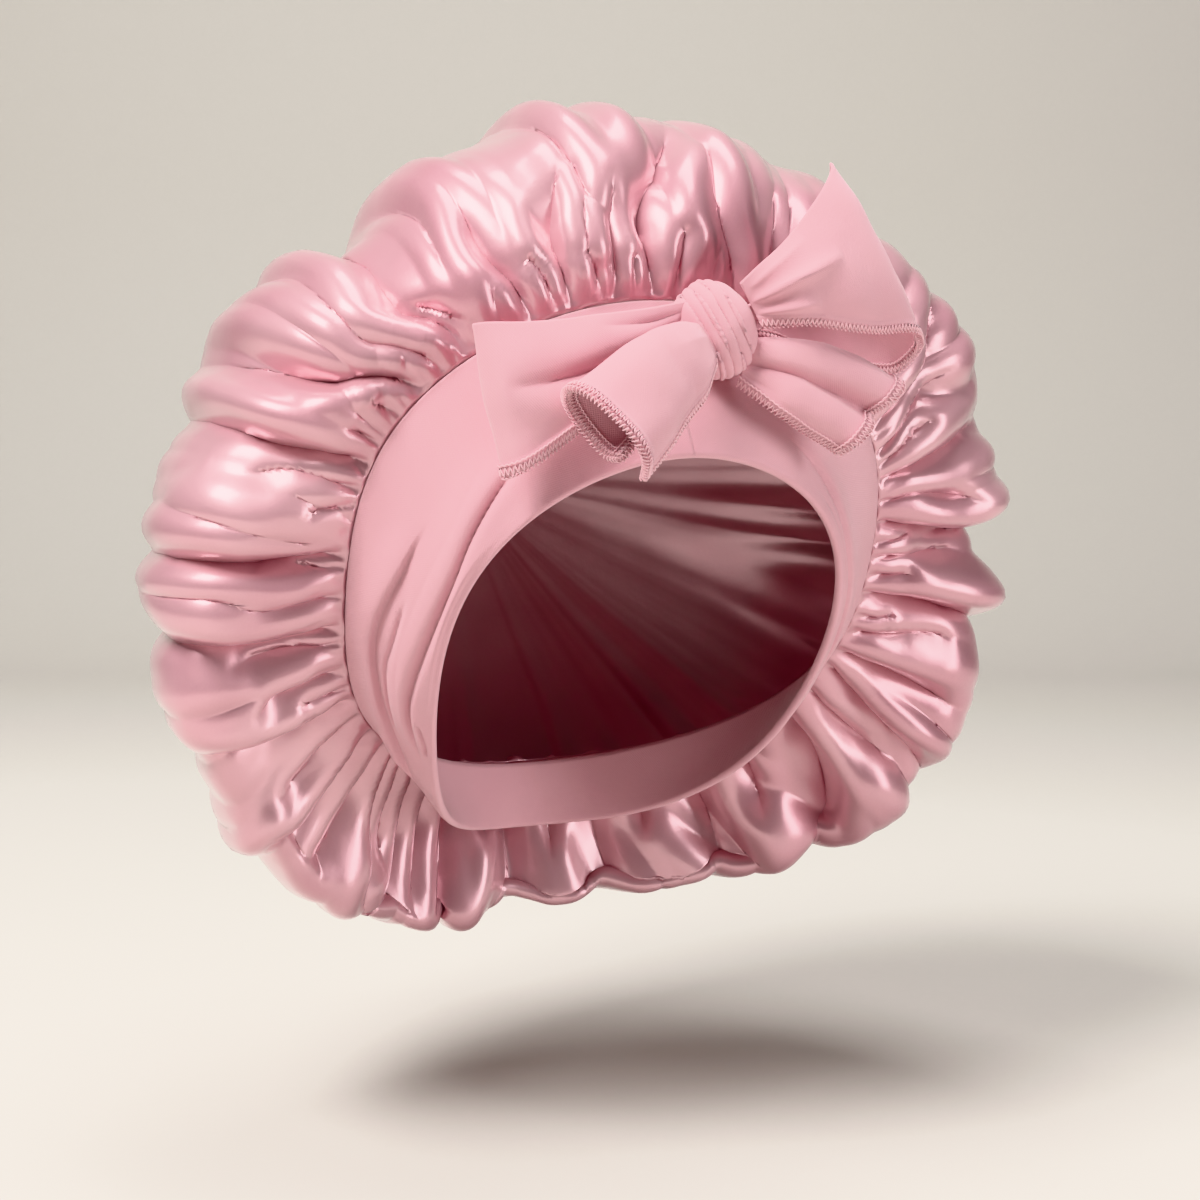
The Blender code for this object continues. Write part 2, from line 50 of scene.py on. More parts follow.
# Seam and hem rings, +X half, mirrored for the other. Across is a share of half the
# ring's width, back and up are shares of its depth and height from its top front.
RING_COLUMNS = ("turn", "seam_across", "seam_back", "seam_up",
                "hem_across", "hem_back", "hem_up")
RING_ROWS = (
    (0, 0.000, 0.000, 0.000, 0.000, 0.000, 0.000),
    (30, 0.581, 0.035, -0.087, 0.603, 0.050, -0.088),
    (60, 0.927, 0.126, -0.284, 0.943, 0.168, -0.284),
    (90, 1.000, 0.243, -0.540, 1.000, 0.321, -0.537),
    (120, 0.880, 0.443, -0.797, 0.844, 0.543, -0.797),
    (150, 0.476, 0.791, -0.952, 0.518, 0.836, -0.958),
    (180, 0.000, 1.000, -1.000, 0.000, 1.000, -1.000),
)

# Rim of the crown, its widest line, a row for each 30 degrees. Across is a share of
# half the crown's width, back of its reach behind the rim, down of its height, and lean
# how far the cloth leans forward (or backward) as it leaves the seam.
RIM_COLUMNS = ("turn", "across", "back", "down", "lean")
RIM_ROWS = (
    (0, 0.013, 0.000, 0.000, 1.00),
    (30, 0.561, -0.025, 0.063, 0.95),
    (60, 0.910, -0.059, 0.264, 0.80),
    (90, 1.013, -0.067, 0.528, 0.60),
    (120, 0.905, 0.040, 0.815, 0.18),
    (150, 0.535, 0.215, 0.960, -0.50),
    (180, 0.010, 0.450, 1.000, -1.00),
    (210, -0.400, 0.300, 0.985, -0.58),
    (240, -0.835, 0.010, 0.790, 0.18),
    (270, -0.960, -0.067, 0.530, 0.60),
    (300, -0.840, -0.059, 0.290, 0.80),
    (330, -0.475, -0.025, 0.106, 0.95),
)

# Pleats between the pillows of satin. Seam, middle and far are their turns at the seam,
# at share 0.15 and at share 0.40, start and end the shares that they reach, deep and
# edge their depth on the slope and at the rim as shares of the deepest, and before and
# after the degrees over which their two sides rise.
PLEAT_COLUMNS = ("seam", "middle", "far", "start", "end", "deep", "edge", "before", "after")
PLEAT_ROWS = (
    (345.5, 344.7, 352.5, 0.00, 0.38, 0.85, 0.0, 6, 5),
    (352.0, 351.0, 350.5, 0.00, 0.10, 0.40, 0.0, 3, 3),
    (338.5, 334.5, 335.5, 0.00, 0.46, 0.80, 0.1, 4, 8),
    (343.0, 339.2, 338.0, 0.00, 0.16, 0.50, 0.0, 3, 4),
    (326.5, 320.2, 322.0, 0.00, 1.00, 1.00, 0.9, 4, 13),
    (327.8, 325.2, 324.5, 0.00, 0.12, 0.45, 0.0, 3, 3),
    (330.5, 323.6, 321.5, 0.02, 0.26, 0.60, 0.0, 3, 4),
    (321.0, 314.0, 310.0, 0.00, 0.28, 0.45, 0.0, 5, 6),
    (315.5, 305.8, 302.2, 0.00, 0.66, 0.90, 0.6, 5, 9),
    (308.5, 304.5, 303.0, 0.00, 0.08, 0.45, 0.0, 3, 3),
    (301.5, 299.5, 299.0, 0.00, 0.10, 0.40, 0.0, 3, 3),
    (297.0, 293.3, 293.0, 0.00, 0.80, 1.00, 0.8, 10, 4),
    (291.0, 288.5, 284.0, 0.00, 0.36, 0.50, 0.0, 5, 4),
    (287.5, 281.5, 280.0, 0.00, 0.12, 0.40, 0.0, 3, 3),
    (277.0, 273.8, 272.2, 0.00, 0.70, 0.85, 0.5, 9, 4),
    (274.0, 270.6, 270.0, 0.00, 0.16, 0.45, 0.0, 3, 3),
    (268.0, 266.0, 270.2, 0.00, 0.46, 0.45, 0.1, 5, 4),
    (261.0, 259.6, 261.2, 0.00, 0.75, 1.00, 0.7, 9, 4),
    (257.5, 256.5, 257.8, 0.00, 0.36, 0.60, 0.0, 4, 3),
    (251.0, 250.3, 249.0, 0.00, 0.26, 0.55, 0.0, 5, 4),
    (246.5, 247.0, 248.0, 0.00, 0.14, 0.40, 0.0, 3, 3),
    (242.5, 242.7, 245.5, 0.00, 0.75, 1.00, 0.6, 11, 4),
    (238.0, 234.5, 235.5, 0.00, 0.36, 0.60, 0.0, 6, 4),
    (231.5, 228.5, 229.8, 0.00, 0.60, 0.85, 0.5, 7, 4),
    (225.0, 222.0, 224.3, 0.00, 0.55, 0.75, 0.3, 5, 5),
    (220.8, 217.5, 215.5, 0.00, 0.28, 0.55, 0.0, 4, 4),
    (217.0, 212.2, 211.0, 0.00, 0.34, 0.70, 0.0, 4, 5),
    (211.5, 206.8, 207.8, 0.00, 0.60, 0.95, 0.5, 6, 6),
    (204.5, 202.0, 203.8, 0.00, 0.50, 0.70, 0.3, 5, 5),
    (348.6, 348.9, 353.4, 0.06, 0.40, 0.50, 0.0, 4, 6),
    (351.0, 347.2, 346.0, 0.00, 0.13, 0.50, 0.0, 3, 3),
    (353.2, 353.0, 359.0, 0.00, 0.30, 0.65, 0.0, 4, 5),
    (359.5, 358.2, 367.0, 0.00, 0.56, 1.00, 0.3, 6, 7),
    (356.4, 355.2, 354.5, 0.00, 0.10, 0.50, 0.0, 3, 3),
    (363.0, 364.4, 366.0, 0.00, 0.14, 0.50, 0.0, 3, 3),
    (374.0, 369.8, 370.0, 0.00, 0.40, 0.50, 0.0, 6, 6),
    (381.0, 379.0, 380.0, 0.00, 0.64, 0.75, 0.6, 8, 8),
    (387.0, 388.0, 387.0, 0.00, 0.22, 0.50, 0.0, 4, 4),
    (394.0, 393.0, 391.0, 0.00, 0.30, 0.60, 0.0, 4, 5),
    (404.0, 401.0, 396.0, 0.00, 0.60, 0.85, 0.5, 8, 10),
    (410.0, 408.0, 405.0, 0.00, 0.26, 0.55, 0.0, 4, 5),
    (417.0, 415.5, 408.0, 0.00, 0.42, 0.85, 0.1, 4, 9),
    (424.0, 419.8, 417.5, 0.00, 0.32, 0.95, 0.0, 4, 5),
    (426.8, 424.0, 422.5, 0.00, 0.18, 0.60, 0.0, 3, 3),
    (430.5, 431.8, 430.5, 0.00, 0.52, 0.80, 0.4, 5, 6),
    (435.5, 438.0, 439.0, 0.00, 0.12, 0.50, 0.0, 3, 3),
    (433.5, 438.6, 444.0, 0.04, 0.34, 0.60, 0.0, 4, 4),
    (440.5, 445.2, 446.5, 0.00, 0.75, 1.00, 0.7, 4, 9),
    (445.0, 447.2, 448.0, 0.00, 0.10, 0.50, 0.0, 3, 3),
    (449.0, 450.0, 452.0, 0.00, 0.42, 0.55, 0.1, 4, 4),
    (453.0, 453.0, 452.0, 0.00, 0.12, 0.60, 0.0, 3, 3),
    (457.3, 458.0, 459.2, 0.00, 0.75, 1.00, 0.7, 4, 9),
    (463.0, 461.0, 460.0, 0.00, 0.12, 0.50, 0.0, 3, 3),
    (467.0, 463.8, 462.6, 0.00, 0.40, 0.65, 0.0, 4, 5),
    (471.5, 471.6, 471.0, 0.00, 0.46, 0.85, 0.3, 4, 8),
    (475.0, 479.3, 480.5, 0.00, 0.62, 0.90, 0.5, 4, 9),
    (481.5, 484.6, 485.5, 0.00, 0.34, 0.70, 0.0, 4, 5),
    (488.0, 492.0, 501.0, 0.00, 0.72, 0.95, 0.6, 5, 9),
    (498.0, 502.0, 508.0, 0.00, 0.28, 0.60, 0.0, 4, 5),
    (507.0, 511.0, 515.0, 0.00, 0.64, 0.85, 0.5, 8, 7),
    (516.0, 519.0, 522.0, 0.00, 0.26, 0.55, 0.0, 4, 4),
    (524.0, 527.0, 529.0, 0.00, 0.62, 0.80, 0.5, 8, 7),
    (533.0, 534.0, 536.0, 0.00, 0.30, 0.55, 0.0, 5, 4),
    (541.0, 542.0, 543.0, 0.00, 0.66, 0.90, 0.6, 7, 8),
    (549.0, 548.0, 550.0, 0.00, 0.28, 0.55, 0.0, 4, 5),
    (557.0, 555.0, 556.0, 0.00, 0.60, 0.80, 0.4, 6, 7),
)

# Folds of the wrapped band as lines of points. Turn and share place a point, share 0
# at the seam and 1 at the hem. Step is how far the cloth beside it stands up over its
# width in millimetres, on one side (-1 or 1) or both (0), and groove how deep it is cut,
# both as shares of the band's step.
FOLD_COLUMNS = ("line", "turn", "share")
FOLD_ROWS = (
    (0, 334.0, 0.66), (0, 321.0, 0.74), (0, 313.5, 0.80), (0, 306.5, 0.85),
    (0, 298.5, 0.90), (0, 290.0, 0.91), (0, 282.0, 0.89), (0, 274.5, 0.85),
    (0, 266.5, 0.79), (0, 259.5, 0.75), (0, 252.5, 0.78), (0, 244.0, 0.88),
    (1, 301.0, 0.55), (1, 287.5, 0.51), (1, 279.0, 0.44), (1, 271.0, 0.36),
    (1, 263.0, 0.32), (1, 255.0, 0.37), (1, 247.5, 0.45), (1, 238.0, 0.53),
    (1, 226.0, 0.60),
    (2, 284.0, 0.62), (2, 270.0, 0.54), (2, 262.5, 0.47), (2, 255.0, 0.48),
    (2, 246.0, 0.56),
    (3, 326.0, 0.52), (3, 315.0, 0.62), (3, 303.5, 0.72), (3, 289.5, 0.72),
    (3, 276.0, 0.66), (3, 264.0, 0.62), (3, 252.0, 0.66), (3, 242.0, 0.74),
    (4, 257.5, 0.86), (4, 253.0, 0.92), (4, 248.5, 0.93),
    (5, 20.0, 0.70), (5, 36.5, 0.78), (5, 48.0, 0.84), (5, 62.0, 0.86),
    (5, 78.0, 0.72), (5, 92.0, 0.58), (5, 110.0, 0.50),
    (6, 30.0, 0.90), (6, 45.0, 0.93), (6, 66.0, 0.94), (6, 90.0, 0.86),
    (6, 112.0, 0.70),
    (7, 232.0, 0.30), (7, 210.0, 0.34), (7, 180.0, 0.38), (7, 150.0, 0.36),
    (7, 124.0, 0.30),
    (8, 236.0, 0.72), (8, 205.0, 0.70), (8, 170.0, 0.74), (8, 140.0, 0.68),
    (8, 112.0, 0.74),
)
FOLD_LOOK_COLUMNS = ("step", "groove", "wide", "side")
FOLD_LOOKS = (
    (0.90, 1.5, 7.0, 0),
    (1.00, 0.5, 9.0, 1),
    (0.35, 0.9, 4.0, 0),
    (0.45, 0.1, 7.0, 0),
    (0.60, 1.2, 2.6, 0),
    (0.60, 0.5, 8.0, -1),
    (0.40, 0.5, 5.0, 0),
    (0.45, 0.4, 7.0, 1),
    (0.45, 0.4, 7.0, 0),
)

# Loops of the bow, a row for each station of the strip from its root in front round
# its outer fold to its root behind, as shares of the loop's reach, puff and rise.
LOOP_COLUMNS = ("along", "high_out", "high_forward", "high_up",
                "low_out", "low_forward", "low_up", "belly")
RIGHT_LOOP_ROWS = (
    (0.00, 0.07, 0.42, 0.29, 0.16, 0.50, 0.02, 0.00),
    (0.18, 0.24, 0.73, 0.56, 0.36, 0.95, 0.03, 0.35),
    (0.34, 0.40, 0.65, 0.84, 0.66, 0.80, 0.00, 0.40),
    (0.46, 0.505, 0.30, 1.04, 0.90, 0.45, -0.03, 0.30),
    (0.50, 0.52, 0.12, 1.06, 0.96, 0.05, -0.11, 0.20),
    (0.54, 0.525, -0.02, 0.98, 0.94, -0.35, -0.22, 0.00),
    (0.68, 0.44, -0.08, 0.68, 0.70, -0.40, -0.25, -0.20),
    (0.84, 0.27, -0.02, 0.29, 0.40, -0.22, -0.14, -0.20),
    (1.00, 0.08, -0.03, 0.10, 0.18, -0.10, -0.04, 0.00),
)
LEFT_LOOP_ROWS = (
    (0.00, -0.13, 0.22, 0.18, -0.17, 0.16, -0.04, 0.00),
    (0.16, -0.36, 0.26, 0.13, -0.38, 0.42, -0.32, 0.20),
    (0.32, -0.72, 0.22, 0.06, -0.70, 0.62, -0.66, 0.20),
    (0.46, -1.00, 0.12, 0.04, -0.90, 0.50, -0.86, 0.10),
    (0.50, -1.03, -0.03, 0.03, -0.925, 0.32, -0.88, 0.00),
    (0.54, -1.00, -0.18, 0.02, -0.90, 0.14, -0.86, 0.00),
    (0.70, -0.70, -0.12, 0.02, -0.68, 0.10, -0.62, 0.00),
    (0.86, -0.36, -0.06, 0.07, -0.36, 0.02, -0.28, 0.00),
    (1.00, -0.15, -0.05, 0.10, -0.16, -0.05, -0.04, 0.00),
)

# Tails of the bow, a row for each station from the knot to the cut end, as shares of
# the tail's reach, roll and drop, with the scales of its rolled section.
TAIL_COLUMNS = ("along", "out", "forward", "drop", "wide", "thick", "slant")
LEFT_TAIL_ROWS = (
    (0.00, -0.12, 0.52, 0.12, 0.48, 0.25, 0.00),
    (0.25, -0.28, 1.02, 0.25, 0.80, 0.45, 0.00),
    (0.55, -0.50, 1.42, 0.46, 1.00, 0.90, 0.00),
    (1.00, -0.77, 1.62, 0.84, 1.08, 1.40, 0.00),
)
RIGHT_TAIL_ROWS = (
    (0.00, 0.15, 0.10, 0.27, 0.42, 0.30, 0.00),
    (0.30, 0.34, 0.40, 0.37, 0.64, 0.52, 0.08),
    (0.62, 0.56, 0.42, 0.52, 0.80, 0.85, 0.18),
    (1.00, 0.82, 0.42, 0.74, 0.90, 1.00, 0.28),
)
SECTION_COLUMNS = ("aside", "forward")
LEFT_SECTION_ROWS = (
    (1.05, 0.10), (0.60, 0.50), (0.00, 0.58), (-0.62, 0.40), (-0.92, 0.00),
    (-0.70, -0.40), (-0.10, -0.52), (0.50, -0.40), (0.62, -0.08),
)
RIGHT_SECTION_ROWS = (
    (-1.10, 0.05), (-0.80, 0.42), (-0.35, 0.45), (-0.02, 0.12), (0.35, 0.48),
    (0.80, 0.45), (1.02, 0.05), (0.80, -0.35), (0.40, -0.38), (0.15, -0.22),
)

# Creases that fan out from the knot over a strip: where they start and end across and
# along it, and their depth and half width in millimetres.
CREASE_COLUMNS = ("across_start", "across_end", "start", "end", "depth", "wide")
RIGHT_LOOP_CREASES = (
    (0.46, 0.40, 0.01, 0.30, 4.0, 2.8),
    (0.72, 0.76, 0.01, 0.20, 2.8, 2.2),
    (0.20, 0.12, 0.02, 0.22, 1.4, 2.4),
    (0.50, 0.40, 0.80, 0.99, 2.0, 3.0),
)
LEFT_LOOP_CREASES = (
    (0.62, 0.44, 0.02, 0.44, 4.2, 4.2),
    (0.28, 0.12, 0.02, 0.24, 1.6, 2.4),
    (0.82, 0.74, 0.04, 0.30, 2.0, 3.0),
    (0.50, 0.45, 0.78, 0.99, 2.0, 3.0),
)
TAIL_CREASES = (
    (0.30, 0.34, 0.00, 0.42, 1.2, 1.6),
    (0.16, 0.12, 0.00, 0.34, 0.9, 1.5),
    (0.72, 0.70, 0.00, 0.45, 1.2, 1.6),
)


# Long soft waves of the satin, from broad to narrow: radius of the circle in the noise
# and its cells from the seam to the back, and amounts of the plain and the creased wave.
STREAK_ROWS = (
    (4.6, 1.3, 0.50, 0.45),
    (9.0, 0.9, 0.35, 1.30),
    (15.0, 1.1, 0.20, 0.90),
)

# Turns of the knot's wrap: their edges along it, -1 to 1, and their depths in metres.
WRAP_EDGES = (-1.4, -0.74, -0.40, -0.10, 0.20, 0.50, 1.4)
WRAP_DEPTHS = (0.00110, 0.00132, 0.00165, 0.00132, 0.00165, 0.00110)


class Ring(Enum):
    """The two rings that the band lies between."""

    SEAM = "seam"
    HEM = "hem"


class Edge(Enum):
    """Edges of a strip that can be overlocked."""

    LOW = "low"
    HIGH = "high"
    END = "end"


def table(rows: tuple, columns: tuple) -> dict[str, np.ndarray]:
    """Turn rows with named columns into arrays by name.

    Args:
        rows: The rows of the table.
        columns: The names of its columns.

    Returns:
        A dict from column name to its values.
    """
    values = np.array(rows, dtype=float)
    return {name: values[:, index] for index, name in enumerate(columns)}


def smooth(value: np.ndarray) -> np.ndarray:
    """Ease from 0 to 1 with 3x^2 - 2x^3.

    Args:
        value: Numbers, cut to the range 0 to 1.

    Returns:
        The eased numbers.
    """
    value = np.clip(value, 0.0, 1.0)
    return value * value * (3.0 - 2.0 * value)


def unit(vectors: np.ndarray) -> np.ndarray:
    """Scale vectors to length 1.

    Args:
        vectors: Array whose last axis holds x, y and z.

    Returns:
        The unit vectors.
    """
    size = np.linalg.norm(vectors, axis=-1, keepdims=True)
    return vectors / np.maximum(size, 1e-12)


def ring_curve(knots: np.ndarray, values: np.ndarray, turn: np.ndarray) -> np.ndarray:
    """Read a closed smooth curve through the values at the knots.

    Each piece is cubic, and the pieces meet with the same slope and the same bend, which
    one set of equations for the bends at the knots settles.

    Args:
        knots: Turns of the knots in degrees, rising.
        values: A row of values for each knot.
        turn: Turns to read.

    Returns:
        A row of values for each turn.
    """
    steps = np.diff(np.append(knots, knots[0] + 360.0))
    last = np.roll(steps, 1)
    count = len(knots)
    matrix = np.diag(2.0 * (last + steps))
    order = np.arange(count)
    matrix[order, (order - 1) % count] += last
    matrix[order, (order + 1) % count] += steps
    rise = (np.roll(values, -1, axis=0) - values) / steps[:, None]
    bend = np.linalg.solve(matrix, 6.0 * (rise - np.roll(rise, 1, axis=0)))
    place = np.mod(turn - knots[0], 360.0) + knots[0]
    low = np.clip(np.searchsorted(knots, place, side="right") - 1, 0, count - 1)
    high = (low + 1) % count
    step = steps[low][:, None]
    after = (place - knots[low])[:, None]
    before = step - after
    cubic = (bend[low] * before ** 3 + bend[high] * after ** 3) / (6.0 * step)
    low_line = (values[low] / step - bend[low] * step / 6.0) * before
    high_line = (values[high] / step - bend[high] * step / 6.0) * after
    return cubic + low_line + high_line


def open_curve(knots: np.ndarray, values: np.ndarray, place: np.ndarray) -> np.ndarray:
    """Read an open curve of cubic pieces through the values at the knots.

    The slope at a knot is that of the values on both sides of it. At a share s of a piece
    the start counts 2 s^3 - 3 s^2 + 1, the end the rest to 1, the slope at the start
    s^3 - 2 s^2 + s and the slope at the end s^3 - s^2.

    Args:
        knots: Places of the knots, rising.
        values: A row of values for each knot.
        place: Places to read.

    Returns:
        A row of values for each place.
    """
    slope = np.gradient(values, knots, axis=0)
    low = np.clip(np.searchsorted(knots, place, side="right") - 1, 0, len(knots) - 2)
    step = (knots[low + 1] - knots[low])[:, None]
    share = (place - knots[low])[:, None] / step
    start = values[low] * (2 * share ** 3 - 3 * share ** 2 + 1)
    end = values[low + 1] * (3 * share ** 2 - 2 * share ** 3)
    leave = slope[low] * step * (share ** 3 - 2 * share ** 2 + share)
    arrive = slope[low + 1] * step * (share ** 3 - share ** 2)
    return start + end + leave + arrive


def handled(first: np.ndarray, second: np.ndarray, third: np.ndarray, fourth: np.ndarray,
            share: np.ndarray) -> np.ndarray:
    """Cubic curves with handles, one for each row of points.

    At a share s the four points count (1 - s)^3, 3 s (1 - s)^2, 3 s^2 (1 - s) and s^3.

    Args:
        first: Start points.
        second: Handles of the starts.
        third: Handles of the ends.
        fourth: End points.
        share: Shares along the curves, 0 to 1.

    Returns:
        A grid of points, a row for each curve and a column for each share.
    """
    share = share[None, :, None]
    rest = 1.0 - share
    start = first[:, None] * rest ** 3 + 3.0 * second[:, None] * share * rest ** 2
    return start + 3.0 * third[:, None] * share ** 2 * rest + fourth[:, None] * share ** 3


def facing(points: np.ndarray, closed: bool) -> np.ndarray:
    """Unit normals of a grid: the cross product of the steps along and across it.

    Args:
        points: Grid of points.
        closed: True where the first axis joins round.

    Returns:
        Grid of unit normals.
    """
    if closed:
        along = np.roll(points, -1, axis=0) - np.roll(points, 1, axis=0)
    else:
        along = np.gradient(points, axis=0)
    return unit(np.cross(along, np.gradient(points, axis=1)))


def finer(grid: np.ndarray) -> np.ndarray:
    """Double the rows of a grid that joins round, with the middles of a smooth curve.

    The new row between p1 and p2 is (9 (p1 + p2) - (p0 + p3)) / 16.

    Args:
        grid: Grid of points, worked on along its first axis.

    Returns:
        The grid with a new row after each row.
    """
    before = np.roll(grid, 1, axis=0)
    after = np.roll(grid, -1, axis=0)
    beyond = np.roll(grid, -2, axis=0)
    middle = (9.0 * (grid + after) - (before + beyond)) / 16.0
    return np.stack([grid, middle], axis=1).reshape(-1, *grid.shape[1:])


@dataclass(frozen=True)
class SoftNoise:
    """Smooth random field made of eased values on a cube lattice.

    Attributes:
        seed: Seed of the lattice.
        size: Points of the lattice along each axis before it repeats.
    """

    seed: int
    size: int = 32

    def at(self, points: np.ndarray) -> np.ndarray:
        """Read the field.

        Args:
            points: Array whose last axis holds three coordinates in lattice steps.

        Returns:
            Values from -1 to 1.
        """
        lattice = np.random.default_rng(self.seed).uniform(-1.0, 1.0, (self.size,) * 3)
        cell = np.floor(points).astype(int)
        part = smooth(points - cell)
        total = np.zeros(points.shape[:-1])
        for corner in np.ndindex(2, 2, 2):
            index = (cell + corner) % self.size
            weight = np.prod(np.where(corner, part, 1.0 - part), axis=-1)
            total += weight * lattice[index[..., 0], index[..., 1], index[..., 2]]
        return total


@dataclass(frozen=True)
class Grid:
    """A grid of points with its faces and flat coordinates.

    Attributes:
        points: Grid of points.
        flat: Grid of flat coordinates in metres, for weave and grain.
        closed: True where the first axis joins round.
    """

    points: np.ndarray
    flat: np.ndarray
    closed: bool = False

    def faces(self) -> np.ndarray:
        """Make the four-cornered faces.

        Returns:
            Array of vertex numbers, a row for each face.
        """
        rows, columns = self.points.shape[:2]
        lines = np.arange(rows if self.closed else rows - 1)[:, None]
        steps = np.arange(columns - 1)[None, :]
        first = lines * columns + steps
        second = (lines + 1) % rows * columns + steps
        return np.stack([first, second, second + 1, first + 1], axis=2).reshape(-1, 4)


def add_mesh(name: str, points: np.ndarray, faces: np.ndarray | list,
             material: bpy.types.Material | None,
             flat: np.ndarray | None = None) -> bpy.types.Object:
    """Make a smooth-shaded object.

    Args:
        name: Name of the object.
        points: Array of points.
        faces: Array or list of vertex numbers of the faces.
        material: Its material.
        flat: Flat coordinates of each point, kept as the UV map, or None.

    Returns:
        The object.
    """
    mesh = bpy.data.meshes.new(name)
    mesh.from_pydata(points.reshape(-1, 3).tolist(), [], [list(face) for face in faces])
    mesh.validate()
    mesh.shade_smooth()
    if flat is not None:
        corners = np.zeros(len(mesh.loops), dtype=int)
        mesh.loops.foreach_get("vertex_index", corners)
        layer = mesh.uv_layers.new(name="flat")
        layer.data.foreach_set("uv", flat.reshape(-1, 2)[corners].astype(np.float32).ravel())
    mesh.materials.append(material)
    thing = bpy.data.objects.new(name, mesh)
    bpy.context.scene.collection.objects.link(thing)
    log.info("%s has %d faces", name, len(mesh.polygons))
    return thing


def slab(grid: Grid, thickness: np.ndarray) -> tuple[np.ndarray, np.ndarray, np.ndarray]:
    """Give a grid its two faces and its edges.

    Args:
        grid: The middle surface, a Grid.
        thickness: Thickness at each point in metres.

    Returns:
        Points, faces and flat coordinates of the closed sheet.
    """
    normal = facing(grid.points, grid.closed)
    rows, columns = grid.points.shape[:2]
    front = grid.points + normal * thickness[..., None] / 2.0
    back = grid.points - normal * thickness[..., None] / 2.0
    count = rows * columns
    faces = grid.faces()
    order = np.arange(count).reshape(rows, columns)
    borders = [order[:, 0], order[::-1, -1]]
    if grid.closed:
        borders = [np.append(line, line[0]) for line in borders]
    else:
        borders += [order[0, ::-1], order[-1]]
    rims = []
    for line in borders:
        rims.append(np.column_stack([line[1:], line[:-1], line[:-1] + count, line[1:] + count]))
    every = np.vstack([faces, faces[:, ::-1] + count] + rims)
    flat = np.concatenate([grid.flat.reshape(-1, 2)] * 2)
    return np.vstack([front.reshape(-1, 3), back.reshape(-1, 3)]), every, flat


def tube(path: np.ndarray, radius: float, sides: int = 5) -> tuple[np.ndarray, np.ndarray]:
    """Points and faces of a thin round thread along a path.

    Each ring is path + radius (cos(t) aside + sin(t) over), with both square to the path.

    Args:
        path: Points of the path.
        radius: Radius of the thread.
        sides: Corners of its section.

    Returns:
        Points and faces of the thread.
    """
    ahead = unit(np.gradient(path, axis=0))
    helper = np.array([0.31, 0.52, 0.79])
    aside = unit(np.cross(ahead, helper))
    over = np.cross(ahead, aside)
    angle = np.arange(sides) * 2.0 * np.pi / sides
    circle = np.cos(angle)[None, :, None] * aside[:, None]
    circle = circle + np.sin(angle)[None, :, None] * over[:, None]
    points = path[:, None] + radius * circle
    line = np.arange(len(path) - 1)[:, None]
    side = np.arange(sides)[None, :]
    nearer = (side + 1) % sides
    following = line + 1
    quads = [line * sides + side, following * sides + side,
             following * sides + nearer, line * sides + nearer]
    faces = np.stack(quads, axis=2).reshape(-1, 4)
    return points.reshape(-1, 3), faces[:, ::-1]


class Shade:
    """A shader value with operators, each of which adds a Math node."""

    def __init__(self, maker: "NodeMaker", socket: bpy.types.NodeSocket) -> None:
        """Keep the socket.

        Args:
            maker: The NodeMaker of its material.
            socket: A node's output socket.
        """
        self.maker = maker
        self.socket = socket

    def _math(self, operation: str, *values: "Shade | float") -> "Shade":
        """Add one Math node that works on the values."""
        return self.maker.add("ShaderNodeMath", values, operation=operation)

    def __add__(self, other: "Shade | float") -> "Shade":
        """The sum of this and another value."""
        return self._math("ADD", self, other)

    def __radd__(self, other: "Shade | float") -> "Shade":
        """The sum of a number and this value."""
        return self._math("ADD", other, self)

    def __sub__(self, other: "Shade | float") -> "Shade":
        """This value less another."""
        return self._math("SUBTRACT", self, other)

    def __rsub__(self, other: "Shade | float") -> "Shade":
        """A number less this value."""
        return self._math("SUBTRACT", other, self)

    def __mul__(self, other: "Shade | float") -> "Shade":
        """This value times another."""
        return self._math("MULTIPLY", self, other)

    def __rmul__(self, other: "Shade | float") -> "Shade":
        """A number times this value."""
        return self._math("MULTIPLY", other, self)

    def __truediv__(self, other: "Shade | float") -> "Shade":
        """This value over another."""
        return self._math("DIVIDE", self, other)

    def __rtruediv__(self, other: "Shade | float") -> "Shade":
        """A number over this value."""
        return self._math("DIVIDE", other, self)

    def __pow__(self, other: "Shade | float") -> "Shade":
        """This value raised to another."""
        return self._math("POWER", self, other)

    def __abs__(self) -> "Shade":
        """The size of this value."""
        return self._math("ABSOLUTE", self)

    def sine(self) -> "Shade":
        """Sine of this value, in radians."""
        return self._math("SINE", self)

    def within(self, low: float, high: float) -> "Shade":
        """Map low to 0 and high to 1, cut to that range.

        Args:
            low: Value that becomes 0.
            high: Value that becomes 1.

        Returns:
            The new Shade.
        """
        inputs = [self, low, high, 0.0, 1.0]
        return self.maker.add("ShaderNodeMapRange", inputs, clamp=True)


